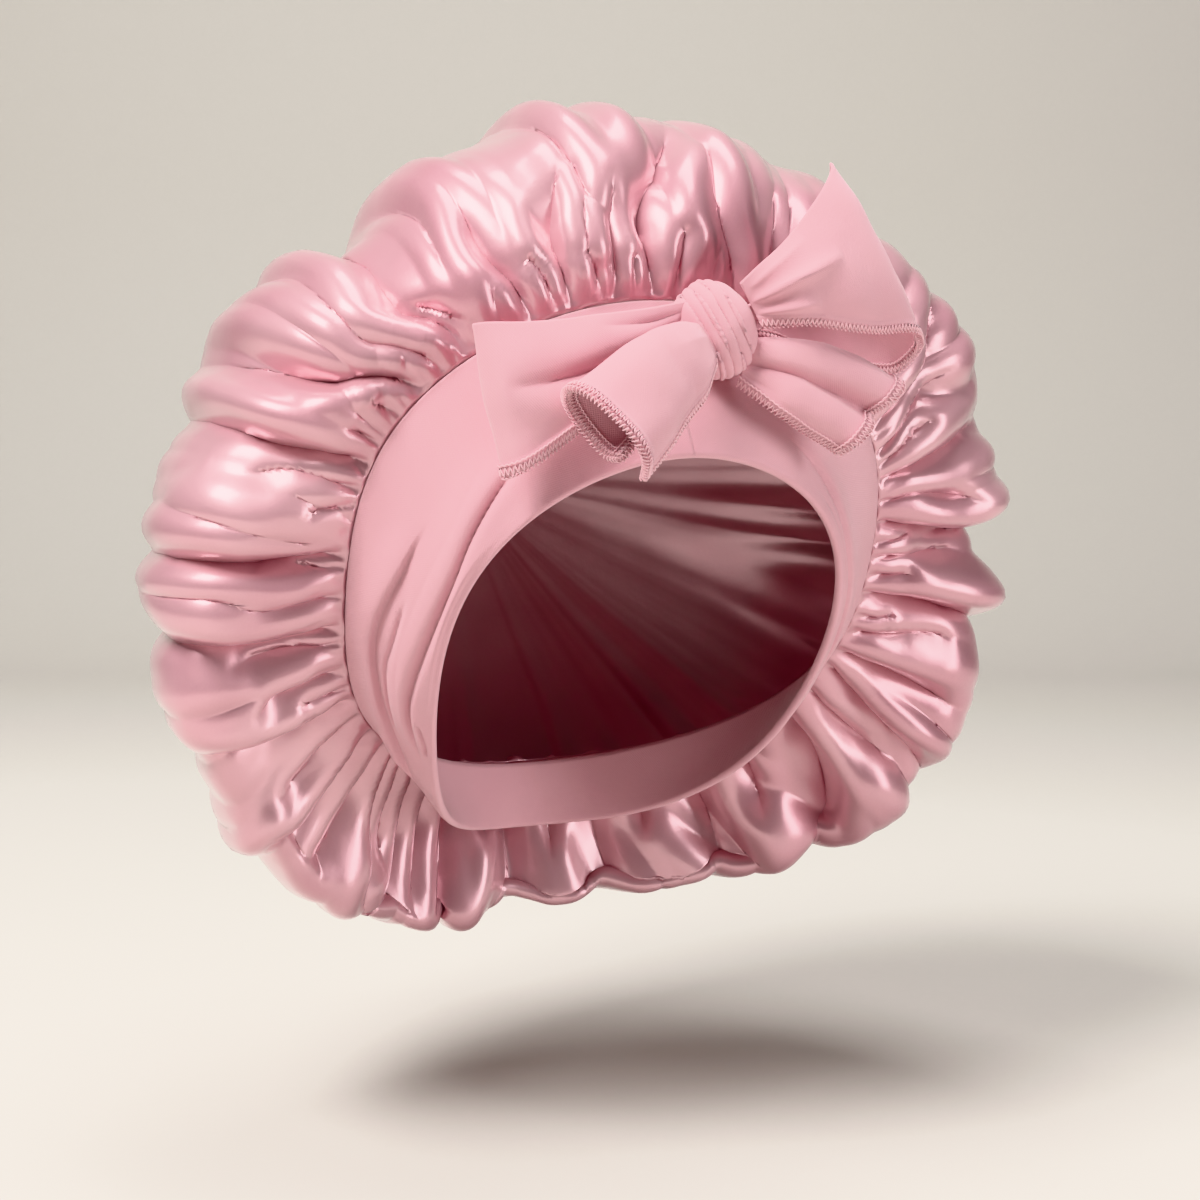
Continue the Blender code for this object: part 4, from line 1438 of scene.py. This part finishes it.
@dataclass(frozen=True)
class Band:
    """Wrapped jersey band, a closed ring of doubled cloth.

    Attributes:
        rings: The rings between which it lies.
        wall: Thickness of the doubled cloth.
        step: How far a fold stands up.
        along: Metres along the band for each degree of turn.
        radius: Mean radius of the band, for its knit.
        turns: Steps round it.
        rows: Rows from the seam to the hem outside.
        inner_rows: The same inside.
        seed: Seed of its softness.
    """

    rings: Rings
    wall: float = 0.0028
    step: float = 0.0029
    along: float = 0.00148
    radius: float = 0.085
    turns: int = 640
    rows: int = 68
    inner_rows: int = 12
    seed: int = 23

    def sheet(self, turn: np.ndarray, share: np.ndarray) -> np.ndarray:
        """Plain surface of the band without folds.

        Args:
            turn: Turns in degrees.
            share: Shares from the seam to the hem.

        Returns:
            Grid of points.
        """
        seam = self.rings.at(Ring.SEAM, turn)[:, None]
        hem = self.rings.at(Ring.HEM, turn)[:, None]
        return seam + (hem - seam) * share[None, :, None]

    def folds(self, turn: np.ndarray, share: np.ndarray) -> np.ndarray:
        """Lift of the folds.

        A fold stands up by step exp(-(d / wide)^2) on its side, or on both, and has a
        groove exp(-|d| / 1.6 mm) deep along its line.

        Args:
            turn: Turns in degrees.
            share: Shares from the seam to the hem.

        Returns:
            Grid of lifts.
        """
        points = self.sheet(turn, share)
        width = np.linalg.norm(points[:, -1] - points[:, 0], axis=1)
        x = np.mod(turn[:, None] + 15.0, 360.0) * self.along + 0.0 * share[None, :]
        y = share[None, :] * width[:, None]
        rows = table(FOLD_ROWS, FOLD_COLUMNS)
        looks = table(FOLD_LOOKS, FOLD_LOOK_COLUMNS)
        lift = np.zeros(x.shape)
        for index in range(len(FOLD_LOOKS)):
            chosen = rows["line"] == index
            line_x = np.mod(rows["turn"][chosen] + 15.0, 360.0) * self.along
            line_y = rows["share"][chosen] * np.interp(rows["turn"][chosen], turn, width)
            knots = np.linspace(0.0, 1.0, len(line_x))
            line = open_curve(knots, np.column_stack([line_x, line_y]), np.linspace(0.0, 1.0, 60))
            away, along = self.from_line(x, y, line[:, 0], line[:, 1])
            fade = smooth(along / 0.22) * smooth((1.0 - along) / 0.16)
            side = looks["side"][index]
            wide = looks["wide"][index] / 1000.0
            raised = np.exp(-(away / wide) ** 2)
            if side:
                raised = raised * smooth(away * side / 0.0012 + 0.5)
            groove = np.exp(-np.abs(away) / 0.0016) * looks["groove"][index]
            lift += fade * (looks["step"][index] * raised - groove)
        return lift * self.step

    def from_line(self, x: np.ndarray, y: np.ndarray, line_x: np.ndarray,
                  line_y: np.ndarray) -> tuple[np.ndarray, np.ndarray]:
        """Signed distance of points from a line of points, and how far along it.

        Args:
            x: Grid of first coordinates.
            y: Grid of second coordinates.
            line_x: First coordinates of the line.
            line_y: Second coordinates of the line.

        Returns:
            Grid of distances, positive on the line's left, and of shares along it.
        """
        nearest = np.full(x.shape, 1e9)
        signed = np.full(x.shape, 1e9)
        place = np.zeros(x.shape)
        lengths = np.hypot(np.diff(line_x), np.diff(line_y))
        done = np.append(0.0, np.cumsum(lengths))
        for index, length in enumerate(lengths):
            step_x = (line_x[index + 1] - line_x[index]) / length
            step_y = (line_y[index + 1] - line_y[index]) / length
            off_x, off_y = x - line_x[index], y - line_y[index]
            ahead = np.clip(off_x * step_x + off_y * step_y, 0.0, length)
            far = np.hypot(off_x - ahead * step_x, off_y - ahead * step_y)
            side = np.where(step_x * off_y - step_y * off_x > 0.0, 1.0, -1.0)
            closer = far < nearest
            nearest = np.where(closer, far, nearest)
            signed = np.where(closer, far * side, signed)
            place = np.where(closer, (done[index] + ahead) / done[-1], place)
        return signed, place

    def build(self, finishes: Finishes) -> bpy.types.Object:
        """Make the band.

        Args:
            finishes: The materials.

        Returns:
            The object.
        """
        turn = np.arange(self.turns) * 360.0 / self.turns
        share = np.linspace(0.0, 1.0, self.rows + 1)
        plain = self.sheet(turn, share)
        outward = -facing(plain, True)
        noise = SoftNoise(self.seed)
        soft = noise.at(plain / 0.022 + 5.0) * 0.0004
        edge = smooth(share / 0.03) * smooth((1.0 - share) / 0.03)
        outer = plain + outward * (self.folds(turn, share) * edge + soft * edge)[..., None]
        inner_share = np.linspace(1.0, 0.0, self.inner_rows + 1)
        inner = self.sheet(turn, inner_share)
        inner_out = np.broadcast_to(outward[:, -1:], inner.shape)
        inner = inner - inner_out * self.wall
        angle = np.linspace(0.0, np.pi, 8)[1:-1]
        hem = plain[:, -1:]
        beyond = unit(plain[:, -1:] - plain[:, -2:-1])
        middle = hem - outward[:, -1:] * self.wall / 2.0
        half = self.wall / 2.0
        rounding = (middle + outward[:, -1:] * half * np.cos(angle)[None, :, None]
                    + beyond * half * np.sin(angle)[None, :, None])
        points = np.concatenate([outer, rounding, inner], axis=1)
        distance = np.cumsum(np.linalg.norm(np.diff(points, axis=1), axis=2), axis=1)
        distance = np.concatenate([np.zeros((len(turn), 1)), distance], axis=1)
        around = np.radians(turn)[:, None] * self.radius + 0.0 * distance
        grid = Grid(points, np.stack([distance, around], axis=2), True)
        faces = grid.faces()[:, ::-1]
        columns = points.shape[1]
        first = np.arange(len(turn)) * columns
        close = np.column_stack([first, np.roll(first, -1), np.roll(first, -1) + columns - 1,
                                 first + columns - 1])
        faces = np.vstack([faces, close])
        band = add_mesh("jersey_band", points, faces, finishes.jersey, grid.flat)
        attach(band, "root")
        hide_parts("band")
        return band


@dataclass(frozen=True)
class Hem:
    """Overlocked edge of a strip: slanted stitches over it and loops along it.

    Attributes:
        width: Width of the stitching.
        pitch: From one stitch to the next.
        thread: Radius of the thread.
    """

    width: float = 0.0033
    pitch: float = 0.00145
    thread: float = 0.00025

    def threads(self, edge: np.ndarray, inward: np.ndarray, normal: np.ndarray,
                thickness: float) -> list[np.ndarray]:
        """Paths of the threads of one hem: a zigzag on each side, one round the edge, one inside.

        Args:
            edge: Points of the edge.
            inward: Unit steps into the cloth at them.
            normal: Unit normals at them.
            thickness: Thickness of the hem.

        Returns:
            A list of point arrays, one for each thread.
        """
        length = np.linalg.norm(np.diff(edge, axis=0), axis=1).sum()
        count = max(3, int(length / self.pitch))
        half = thickness / 2.0 + self.thread * 0.6
        paths = []
        step, base, into, up = self.stations(edge, inward, normal, count, 6)
        wave = np.clip(np.abs(np.mod(step, 1.0) - 0.35) / 0.65, 0.0, 1.0)
        lift = half + self.thread * (0.4 - 0.3 * np.cos(2.0 * np.pi * step))
        for side in (1.0, -1.0):
            paths.append(base + into * (wave * self.width)[:, None] + up * (side * lift)[:, None])
        step, base, into, up = self.stations(edge, inward, normal, count, 9)
        angle = 2.0 * np.pi * step
        out = -0.00045 - 0.0005 * np.cos(angle)
        paths.append(base + into * out[:, None] + up * (np.sin(angle) * half)[:, None])
        step, base, into, up = self.stations(edge, inward, normal, count, 5)
        sway = 0.00022 * np.sin(2.0 * np.pi * step)
        lift = half + self.thread * 0.9
        paths.append(base + into * (self.width + sway)[:, None] + up * lift)
        return paths

    def stations(self, edge: np.ndarray, inward: np.ndarray, normal: np.ndarray, count: int,
                 each: int) -> tuple[np.ndarray, np.ndarray, np.ndarray, np.ndarray]:
        """Places along the edge, evenly spaced by its length.

        Args:
            edge: Points of the edge.
            inward: Unit steps into the cloth at them.
            normal: Unit normals at them.
            count: Number of stitches.
            each: Number of places for each stitch.

        Returns:
            The places counted in stitches, and the point, inward step and normal at each.
        """
        done = np.append(0.0, np.cumsum(np.linalg.norm(np.diff(edge, axis=0), axis=1)))
        step = np.linspace(0.0, count, count * each + 1)
        spot = step / count * done[-1]
        base, into, up = (np.column_stack([np.interp(spot, done, values[:, k]) for k in range(3)])
                          for values in (edge, inward, normal))
        return step, base, into, up

    def build(self, name: str, edges: list, material: bpy.types.Material) -> bpy.types.Object:
        """Make the threads of a strip's hems as one object.

        Args:
            name: Name of the object.
            edges: A tuple of edge, inward, normal and thickness for each hem.
            material: Thread material.

        Returns:
            The object.
        """
        points, faces, count = [], [], 0
        for edge, inward, normal, thickness in edges:
            for path in self.threads(edge, inward, normal, thickness):
                new_points, new_faces = tube(path, self.thread)
                points.append(new_points)
                faces.append(new_faces + count)
                count += len(new_points)
        thing = add_mesh(name, np.vstack(points), np.vstack(faces), material)
        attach(thing, "root")
        return thing


@dataclass(frozen=True)
class Strip:
    """A strip of the bow with hems.

    Attributes:
        node: Name of the CAD node that it stands for.
        rows: Its stations.
        creases: Its creases near the knot.
        hems: Which edges are overlocked.
        flat: Size of its cut cloth; not used.
        seed: Seed of its softness.
        cloth: Thickness of the cloth.
        hem_cloth: Thickness of a folded hem.
        hem_width: Width of a folded hem.
    """

    node: str
    rows: tuple
    creases: tuple
    hems: tuple
    flat: tuple
    seed: int
    cloth: float = 0.0010
    hem_cloth: float = 0.0018
    hem_width: float = 0.0036

    def middle(self, along: np.ndarray, across: np.ndarray) -> np.ndarray:
        """Middle surface about the knot's middle, which each kind of strip makes."""
        raise NotImplementedError

    def relief(self, points: np.ndarray, along: np.ndarray, across: np.ndarray) -> np.ndarray:
        """Lift of the creases and the cloth's softness.

        A crease is 1.4 exp(-|d| / wide) less 0.4 exp(-(d / (2.2 wide))^2) of its depth at
        a distance d, and fades at both ends as a half sine to the power 0.7.

        Args:
            points: Grid of points.
            along: Shares along the strip.
            across: Shares across it.

        Returns:
            Grid of lifts.
        """
        width = np.linalg.norm(points[:, -1] - points[:, 0], axis=1)[:, None]
        width = np.maximum(width, 0.012)
        lift = np.zeros(points.shape[:2])
        rows = table(self.creases, CREASE_COLUMNS)
        for index in range(len(self.creases)):
            start, end = rows["start"][index], rows["end"][index]
            part = np.clip((along - start) / (end - start), 0.0, 1.0)
            line = rows["across_start"][index]
            line = line + (rows["across_end"][index] - line) * part
            away = (across[None, :] - line[:, None]) * width
            wide = rows["wide"][index] / 1000.0 * (0.5 + part[:, None])
            fade = np.sin(np.pi * part) ** 0.7
            crease = np.exp(-np.abs(away) / wide) * 1.4 - 0.4 * np.exp(-(away / wide / 2.2) ** 2)
            lift -= crease * fade[:, None] * rows["depth"][index] / 1000.0
        noise = SoftNoise(self.seed)
        lift += noise.at(points / 0.022 + 2.0) * 0.0016
        lift += noise.at(points / 0.010 + 9.0) * 0.0004
        return lift

    def thickness(self, points: np.ndarray, along: np.ndarray, across: np.ndarray) -> np.ndarray:
        """Thickness of the cloth, with its folded hems, thinned to 0.45 at the edges.

        Args:
            points: Grid of points.
            along: Shares along the strip.
            across: Shares across it.

        Returns:
            Grid of thicknesses.
        """
        steps = np.linalg.norm(np.diff(points, axis=1), axis=2)
        from_high = np.concatenate([np.zeros((len(along), 1)), np.cumsum(steps, axis=1)], axis=1)
        from_low = from_high[:, -1:] - from_high
        runs = np.linalg.norm(np.diff(points, axis=0), axis=2)
        from_root = np.concatenate([np.zeros((1, len(across))), np.cumsum(runs, axis=0)], axis=0)
        from_end = from_root[-1:] - from_root
        gaps = {Edge.HIGH: from_high, Edge.LOW: from_low, Edge.END: from_end}
        amount = np.zeros(points.shape[:2])
        for kind in self.hems:
            inside = smooth((self.hem_width - gaps[kind]) / 0.0004 + 0.5)
            amount = np.maximum(amount, inside)
        thick = self.cloth + (self.hem_cloth - self.cloth) * amount
        nearest = np.minimum(np.minimum(from_high, from_low), from_end)
        return thick * (0.45 + 0.55 * smooth(nearest / 0.0005))

    def spread(self, count: int) -> np.ndarray:
        """Shares from 0 to 1, crowded toward both ends by 0.09 of a sine."""
        even = np.linspace(0.0, 1.0, count)
        return even - 0.09 * np.sin(2.0 * np.pi * even)

    def counts(self) -> tuple[int, int]:
        """Numbers of rows along the strip and columns across it."""
        return 150, 56

    def build(self, middle: np.ndarray, knot: "Knot", finishes: Finishes) -> bpy.types.Object:
        """Make the strip and its stitching.

        Args:
            middle: The knot's middle.
            knot: The Knot, which the roots stay clear of.
            finishes: The materials.

        Returns:
            The strip's object.
        """
        rows, columns = self.counts()
        along = np.linspace(0.0, 1.0, rows)
        across = self.spread(columns)
        points = self.middle(along, across)
        points = points + facing(points, False) * self.relief(points, along, across)[..., None]
        points = knot.clear(points) + middle
        steps = np.linalg.norm(np.diff(points, axis=1), axis=2).mean(axis=0)
        runs = np.linalg.norm(np.diff(points, axis=0), axis=2).mean(axis=1)
        flat_across = np.append(0.0, np.cumsum(steps))
        flat_along = np.append(0.0, np.cumsum(runs))
        flat = np.stack(np.meshgrid(flat_across, flat_along), axis=2)
        grid = Grid(points, flat)
        thick = self.thickness(points, along, across)
        made, faces, flats = slab(grid, thick)
        strip = add_mesh("bow_" + self.node, made, faces, finishes.jersey, flats)
        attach(strip, "root")
        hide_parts(self.node)
        normal = facing(points, False)
        edges = []
        lines = {Edge.HIGH: (points[:, 0], points[:, 1] - points[:, 0], normal[:, 0]),
                 Edge.LOW: (points[:, -1], points[:, -2] - points[:, -1], normal[:, -1]),
                 Edge.END: (points[-1], points[-2] - points[-1], normal[-1])}
        for kind in self.hems:
            edge, inward, up = lines[kind]
            edges.append((edge, unit(inward), up, self.hem_cloth))
        threads = Hem().build("stitching_" + self.node, edges, finishes.thread)
        return strip


@dataclass(frozen=True)
class Loop(Strip):
    """A loop of the bow: a strip folded out and back.

    Attributes:
        reach: How far it goes out, which its stations are shares of.
        rise: The same upward.
        puff: The same forward.
    """

    reach: float = 0.078
    rise: float = 0.050
    puff: float = 0.016

    def middle(self, along: np.ndarray, across: np.ndarray) -> np.ndarray:
        """Middle surface of a loop about the knot's middle.

        It goes straight from the high edge to the low one and swells forward by
        4 s (1 - s) of its belly at a share s across.

        Args:
            along: Shares along the strip.
            across: Shares across it.

        Returns:
            Grid of points.
        """
        data = table(self.rows, LOOP_COLUMNS)
        high = np.column_stack([data["high_out"] * self.reach, -data["high_forward"] * self.puff,
                                data["high_up"] * self.rise])
        low = np.column_stack([data["low_out"] * self.reach, -data["low_forward"] * self.puff,
                               data["low_up"] * self.rise])
        high = open_curve(data["along"], high, along)[:, None]
        low = open_curve(data["along"], low, along)[:, None]
        belly = open_curve(data["along"], data["belly"][:, None], along)[:, None]
        part = across[None, :, None]
        swell = 4.0 * part * (1.0 - part) * belly * self.puff
        return high + (low - high) * part + swell * (0.0, -1.0, 0.0)


@dataclass(frozen=True)
class Tail(Strip):
    """A tail of the bow: a rolled strip with a cut end.

    Attributes:
        section: Its rolled section.
        tail_reach: How far it goes out, which its stations are shares of.
        drop: The same downward.
        roll: Size of its section.
    """

    section: tuple = ()
    tail_reach: float = 0.064
    drop: float = 0.036
    roll: float = 0.016

    def middle(self, along: np.ndarray, across: np.ndarray) -> np.ndarray:
        """Middle surface of a tail about the knot's middle.

        The rolled section is carried along a curved line, wider, thicker or slanted by
        the scale of its stations.

        Args:
            along: Shares along the strip.
            across: Shares across it.

        Returns:
            Grid of points.
        """
        data = table(self.rows, TAIL_COLUMNS)
        shape = table(self.section, SECTION_COLUMNS)
        line = np.column_stack([data["out"] * self.tail_reach, -data["forward"] * self.roll,
                                -data["drop"] * self.drop])
        line = open_curve(data["along"], line, along)
        scale = np.column_stack([data["wide"], data["thick"], data["slant"]])
        scale = open_curve(data["along"], scale, along)
        ahead = unit(np.gradient(line, axis=0))
        forward = np.array([0.0, -1.0, 0.0])
        forward = unit(forward - ahead * (ahead @ forward)[:, None])
        aside = np.cross(forward, ahead)
        outline = np.column_stack([shape["aside"], shape["forward"]])
        places = np.linspace(0.0, 1.0, len(self.section))
        outline = open_curve(places, outline, across) * self.roll
        side_step = aside[:, None] * (outline[None, :, :1] * scale[:, None, :1])
        front_step = forward[:, None] * (outline[None, :, 1:] * scale[:, None, 1:2])
        end_step = ahead[:, None] * (outline[None, :, :1] * scale[:, None, 2:])
        return line[:, None] + side_step + front_step + end_step

    def counts(self) -> tuple[int, int]:
        """Numbers of rows along the tail and columns across it."""
        return 70, 110


@dataclass(frozen=True)
class Knot:
    """Knot: a strip wrapped round the roots of the loops.

    Attributes:
        width: Its size across.
        depth: Its size front to back.
        height: Its size up.
        ridge: How far its wrap stands out under it.
        clearance: Gap to the band.
        tilt: Slope of the loops that it holds, in degrees.
        length: Length of the wrap along them.
        across: Width of the wrap across them.
        cloth: Thickness of the wrap.
        softness: Height of the cloth's softness.
        turn: Turn at which it sits on the band.
        share: Share from the seam to the hem at which it sits.
        seed: Seed of its softness.
    """

    width: float = 0.027
    depth: float = 0.023
    height: float = 0.031
    ridge: float = 0.0009
    clearance: float = 0.0004
    tilt: float = 33.0
    length: float = 0.0255
    across: float = 0.0315
    cloth: float = 0.0010
    softness: float = 0.0003
    turn: float = 5.0
    share: float = 0.33
    seed: int = 41

    def middle(self, band: Band) -> np.ndarray:
        """Middle of the knot, seated on the outside of the band near its top.

        Args:
            band: The Band that it sits on.

        Returns:
            The point.
        """
        turn = np.array([self.turn - 1.0, self.turn, self.turn + 1.0])
        share = np.array([self.share - 0.02, self.share, self.share + 0.02])
        points = band.sheet(turn, share)
        outward = -facing(points, False)[1, 1]
        return points[1, 1] + outward * (self.depth / 2.0 + self.ridge + self.clearance)

    def clear(self, points: np.ndarray) -> np.ndarray:
        """Move points that lie in the knot out to just off its surface.

        Args:
            points: Points about the knot's middle.

        Returns:
            The moved points.
        """
        radii = np.array([self.width, self.depth, self.height]) / 2.0 - 0.0012
        level = np.linalg.norm(points / radii, axis=-1, keepdims=True)
        return points * np.maximum(1.0, 1.0 / np.maximum(level, 1e-9))

    def wraps(self, at: np.ndarray, around: np.ndarray) -> np.ndarray:
        """Depth of the cloth between the turns of the wrap, which overlap like shingles.

        Within a turn it is deep (1 - sin(pi u)^0.5 (0.55 + 0.45 u)) at a share u across.

        Args:
            at: Places along the knot at each point, -1 to 1.
            around: Angles round it.

        Returns:
            Grid of depths.
        """
        cut = np.zeros(at.shape)
        for low, high, depth in zip(WRAP_EDGES[:-1], WRAP_EDGES[1:], WRAP_DEPTHS):
            sway = 0.035 * np.sin(around * 2.0 + low * 9.0)[:, None]
            across = np.clip((at - sway - low) / (high - low), 0.0, 1.0)
            bulge = np.sin(np.pi * across) ** 0.5 * (0.55 + 0.45 * across)
            cut += np.where((across > 0.0) & (across < 1.0), depth * (1.0 - bulge), 0.0)
        return cut

    def build(self, middle: np.ndarray, finishes: Finishes) -> bpy.types.Object:
        """Make the knot.

        Args:
            middle: Its middle.
            finishes: The materials.

        Returns:
            The object.
        """
        round_count, length_count = 192, 110
        around = np.arange(round_count) * 2.0 * np.pi / round_count
        place = np.linspace(-0.97, 0.97, length_count)
        skew = 0.20 * np.sin(around - 0.5)[:, None]
        at = place[None, :] + skew * (1.0 - place[None, :] ** 2)
        cut = self.wraps(at, around)
        size = (1.0 - np.abs(place) ** 2.4) ** 0.5
        tilt = np.radians(self.tilt)
        axis = np.array([np.cos(tilt), 0.0, np.sin(tilt)])
        first = np.array([-np.sin(tilt), 0.0, np.cos(tilt)])
        front = np.array([0.0, -1.0, 0.0])
        tall = self.across / 2.0 * size[None, :] - cut
        deep = self.depth / 2.0 * size[None, :] - cut
        points = (axis * place[None, :, None] * self.length / 2.0
                  + first * (tall * np.cos(around)[:, None])[..., None]
                  + front * (deep * np.sin(around)[:, None])[..., None])
        soft = SoftNoise(self.seed).at(points / 0.006) * self.softness
        points = points - facing(points, True) * soft[..., None]
        flat = np.stack(np.meshgrid(place * self.length * 0.7, around * 0.014), axis=2)
        grid = Grid(points + middle, flat, True)
        made, faces, flats = slab(grid, np.full(points.shape[:2], self.cloth))
        knot = add_mesh("bow_knot", made, faces, finishes.jersey, flats)
        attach(knot, "root")
        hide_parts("knot")
        return knot


@dataclass(frozen=True)
class Lamp:
    """A soft light from a rectangle, which faces the part.

    Attributes:
        name: Its name.
        place: Where it is along the camera's right, up and back, in metres.
        size: Its two sides.
        watts: Its power.
        colour: Its colour, linear.
    """

    name: str
    place: tuple
    size: tuple
    watts: float
    colour: tuple


@dataclass(frozen=True)
class Studio:
    """Camera, floor and lights.

    Attributes:
        azimuth: Where the camera stands, in degrees from the front.
        elevation: How high it stands, in degrees.
        distance: Its distance from the object.
        lens: Its focal length in millimetres.
        sensor: Width of its sensor in millimetres.
        picture: Width and height of the picture in pixels.
        origin: Where the part's origin lands in the picture, in pixels.
        floor: Height of the floor.
        room: Colour and strength of the light from all round.
        lamps: Its lights.
    """

    azimuth: float = -24.0
    elevation: float = 6.0
    distance: float = 0.80
    lens: float = 70.0
    sensor: float = 36.0
    picture: float = 1200.0
    origin: tuple = (589.0, 514.0)
    floor: float = -0.215
    room: tuple = (1.0, 0.975, 0.95, 0.11)
    lamps: tuple = (
        Lamp("window", (-0.75, 1.25, 0.70), (0.70, 0.70), 44.0, (1.0, 0.985, 0.965)),
        Lamp("fill", (1.3, 0.20, 0.7), (0.35, 1.0), 11.0, (1.0, 0.99, 0.98)),
        Lamp("top", (0.1, 1.3, -0.1), (1.0, 0.5), 16.0, (1.0, 0.99, 0.98)),
    )

    def axes(self) -> tuple[np.ndarray, np.ndarray, np.ndarray]:
        """Directions of the camera.

        Returns:
            Unit vectors back, right and up.
        """
        turn, lift = np.radians(self.azimuth), np.radians(self.elevation)
        back = np.array([np.sin(turn) * np.cos(lift), -np.cos(turn) * np.cos(lift), np.sin(lift)])
        right = np.array([np.cos(turn), np.sin(turn), 0.0])
        return back, right, np.cross(back, right)

    def camera(self) -> None:
        """Place the camera so that the part's origin lands at its place in the picture.

        A pixel off the centre is distance over focal length in metres, where the focal
        length in pixels is the picture's width times the lens over the sensor.
        """
        back, right, up = self.axes()
        focal = self.picture * self.lens / self.sensor
        centre = self.picture / 2.0
        aside = (self.origin[0] - centre) / focal * self.distance
        above = (centre - self.origin[1]) / focal * self.distance
        target = -right * aside - up * above
        data = bpy.data.cameras.new("camera")
        data.lens = self.lens
        data.sensor_width = self.sensor
        data.clip_start = 0.01
        data.clip_end = 50.0
        camera = bpy.data.objects.new("camera", data)
        camera.location = target + back * self.distance
        camera.rotation_mode = "QUATERNION"
        camera.rotation_quaternion = Vector(-back).to_track_quat("-Z", "Y")
        bpy.context.scene.collection.objects.link(camera)
        bpy.context.scene.camera = camera

    def backdrop(self) -> None:
        """Make the floor, curved up behind into a plain wall."""
        radius, reach, wall = 0.45, 1.15, 2.6
        angle = np.linspace(0.0, np.pi / 2.0, 24)
        depth = np.concatenate([[-2.4], reach + radius * np.sin(angle), [reach + radius]])
        height = np.concatenate([[0.0], radius * (1.0 - np.cos(angle)), [wall]])
        back, right = self.axes()[:2]
        level = unit(back * (1.0, 1.0, 0.0))
        side = np.linspace(-3.2, 3.2, 3)
        points = (-level * depth[:, None, None] + right * side[None, :, None]
                  + np.array([0.0, 0.0, 1.0]) * (height + self.floor)[:, None, None])
        grid = Grid(points, np.zeros(points.shape[:2] + (2,)))
        floor = add_mesh("floor", points, grid.faces()[:, ::-1], Paper().make())

    def light(self, lamp: Lamp) -> None:
        """Add one light.

        Args:
            lamp: The light.
        """
        back, right = self.axes()[:2]
        level = unit(back * (1.0, 1.0, 0.0))
        data = bpy.data.lights.new(lamp.name, "AREA")
        data.shape = "RECTANGLE"
        data.size, data.size_y = lamp.size
        data.energy = lamp.watts
        data.color = lamp.colour
        thing = bpy.data.objects.new(lamp.name, data)
        aside, above, behind = lamp.place
        at = right * aside + np.array([0.0, 0.0, 1.0]) * above + level * behind
        thing.location = at
        thing.rotation_mode = "QUATERNION"
        thing.rotation_quaternion = Vector(-at).to_track_quat("-Z", "Y")
        bpy.context.scene.collection.objects.link(thing)

    def world(self) -> None:
        """Set the soft light from all round."""
        world = bpy.data.worlds.new("room")
        world.use_nodes = True
        shader = world.node_tree.nodes["Background"]
        shader.inputs["Color"].default_value = (*self.room[:3], 1.0)
        shader.inputs["Strength"].default_value = self.room[3]
        bpy.context.scene.world = world
        bpy.context.scene.view_settings.view_transform = "Khronos PBR Neutral"

    def build(self) -> None:
        """Set the whole studio."""
        self.camera()
        self.backdrop()
        self.world()
        for lamp in self.lamps:
            self.light(lamp)


def main() -> None:
    """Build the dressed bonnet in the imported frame."""
    logging.basicConfig(level=logging.INFO, format="%(message)s")
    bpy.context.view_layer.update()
    studio = Studio()
    studio.build()
    finishes = Finishes(Satin().make(), Jersey().make(), Thread().make())
    rings = Rings()
    band = Band(rings)
    knot = Knot()
    middle = knot.middle(band)
    Crown(rings).build(finishes)
    band.build(finishes)
    knot.build(middle, finishes)
    all_edges = (Edge.LOW, Edge.HIGH, Edge.END)
    strips = (
        Loop("loop_left", LEFT_LOOP_ROWS, LEFT_LOOP_CREASES, (Edge.LOW,), (0.036, 0.135), 51),
        Loop("loop_right", RIGHT_LOOP_ROWS, RIGHT_LOOP_CREASES, (Edge.LOW,), (0.040, 0.150), 52),
        Tail("tail_left", LEFT_TAIL_ROWS, TAIL_CREASES, all_edges, (0.058, 0.058), 53,
             section=LEFT_SECTION_ROWS),
        Tail("tail_right", RIGHT_TAIL_ROWS, TAIL_CREASES, all_edges, (0.055, 0.056), 54,
             section=RIGHT_SECTION_ROWS),
    )
    for strip in strips:
        strip.build(middle, knot, finishes)
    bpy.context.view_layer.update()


if __name__ == "__main__":
    main()
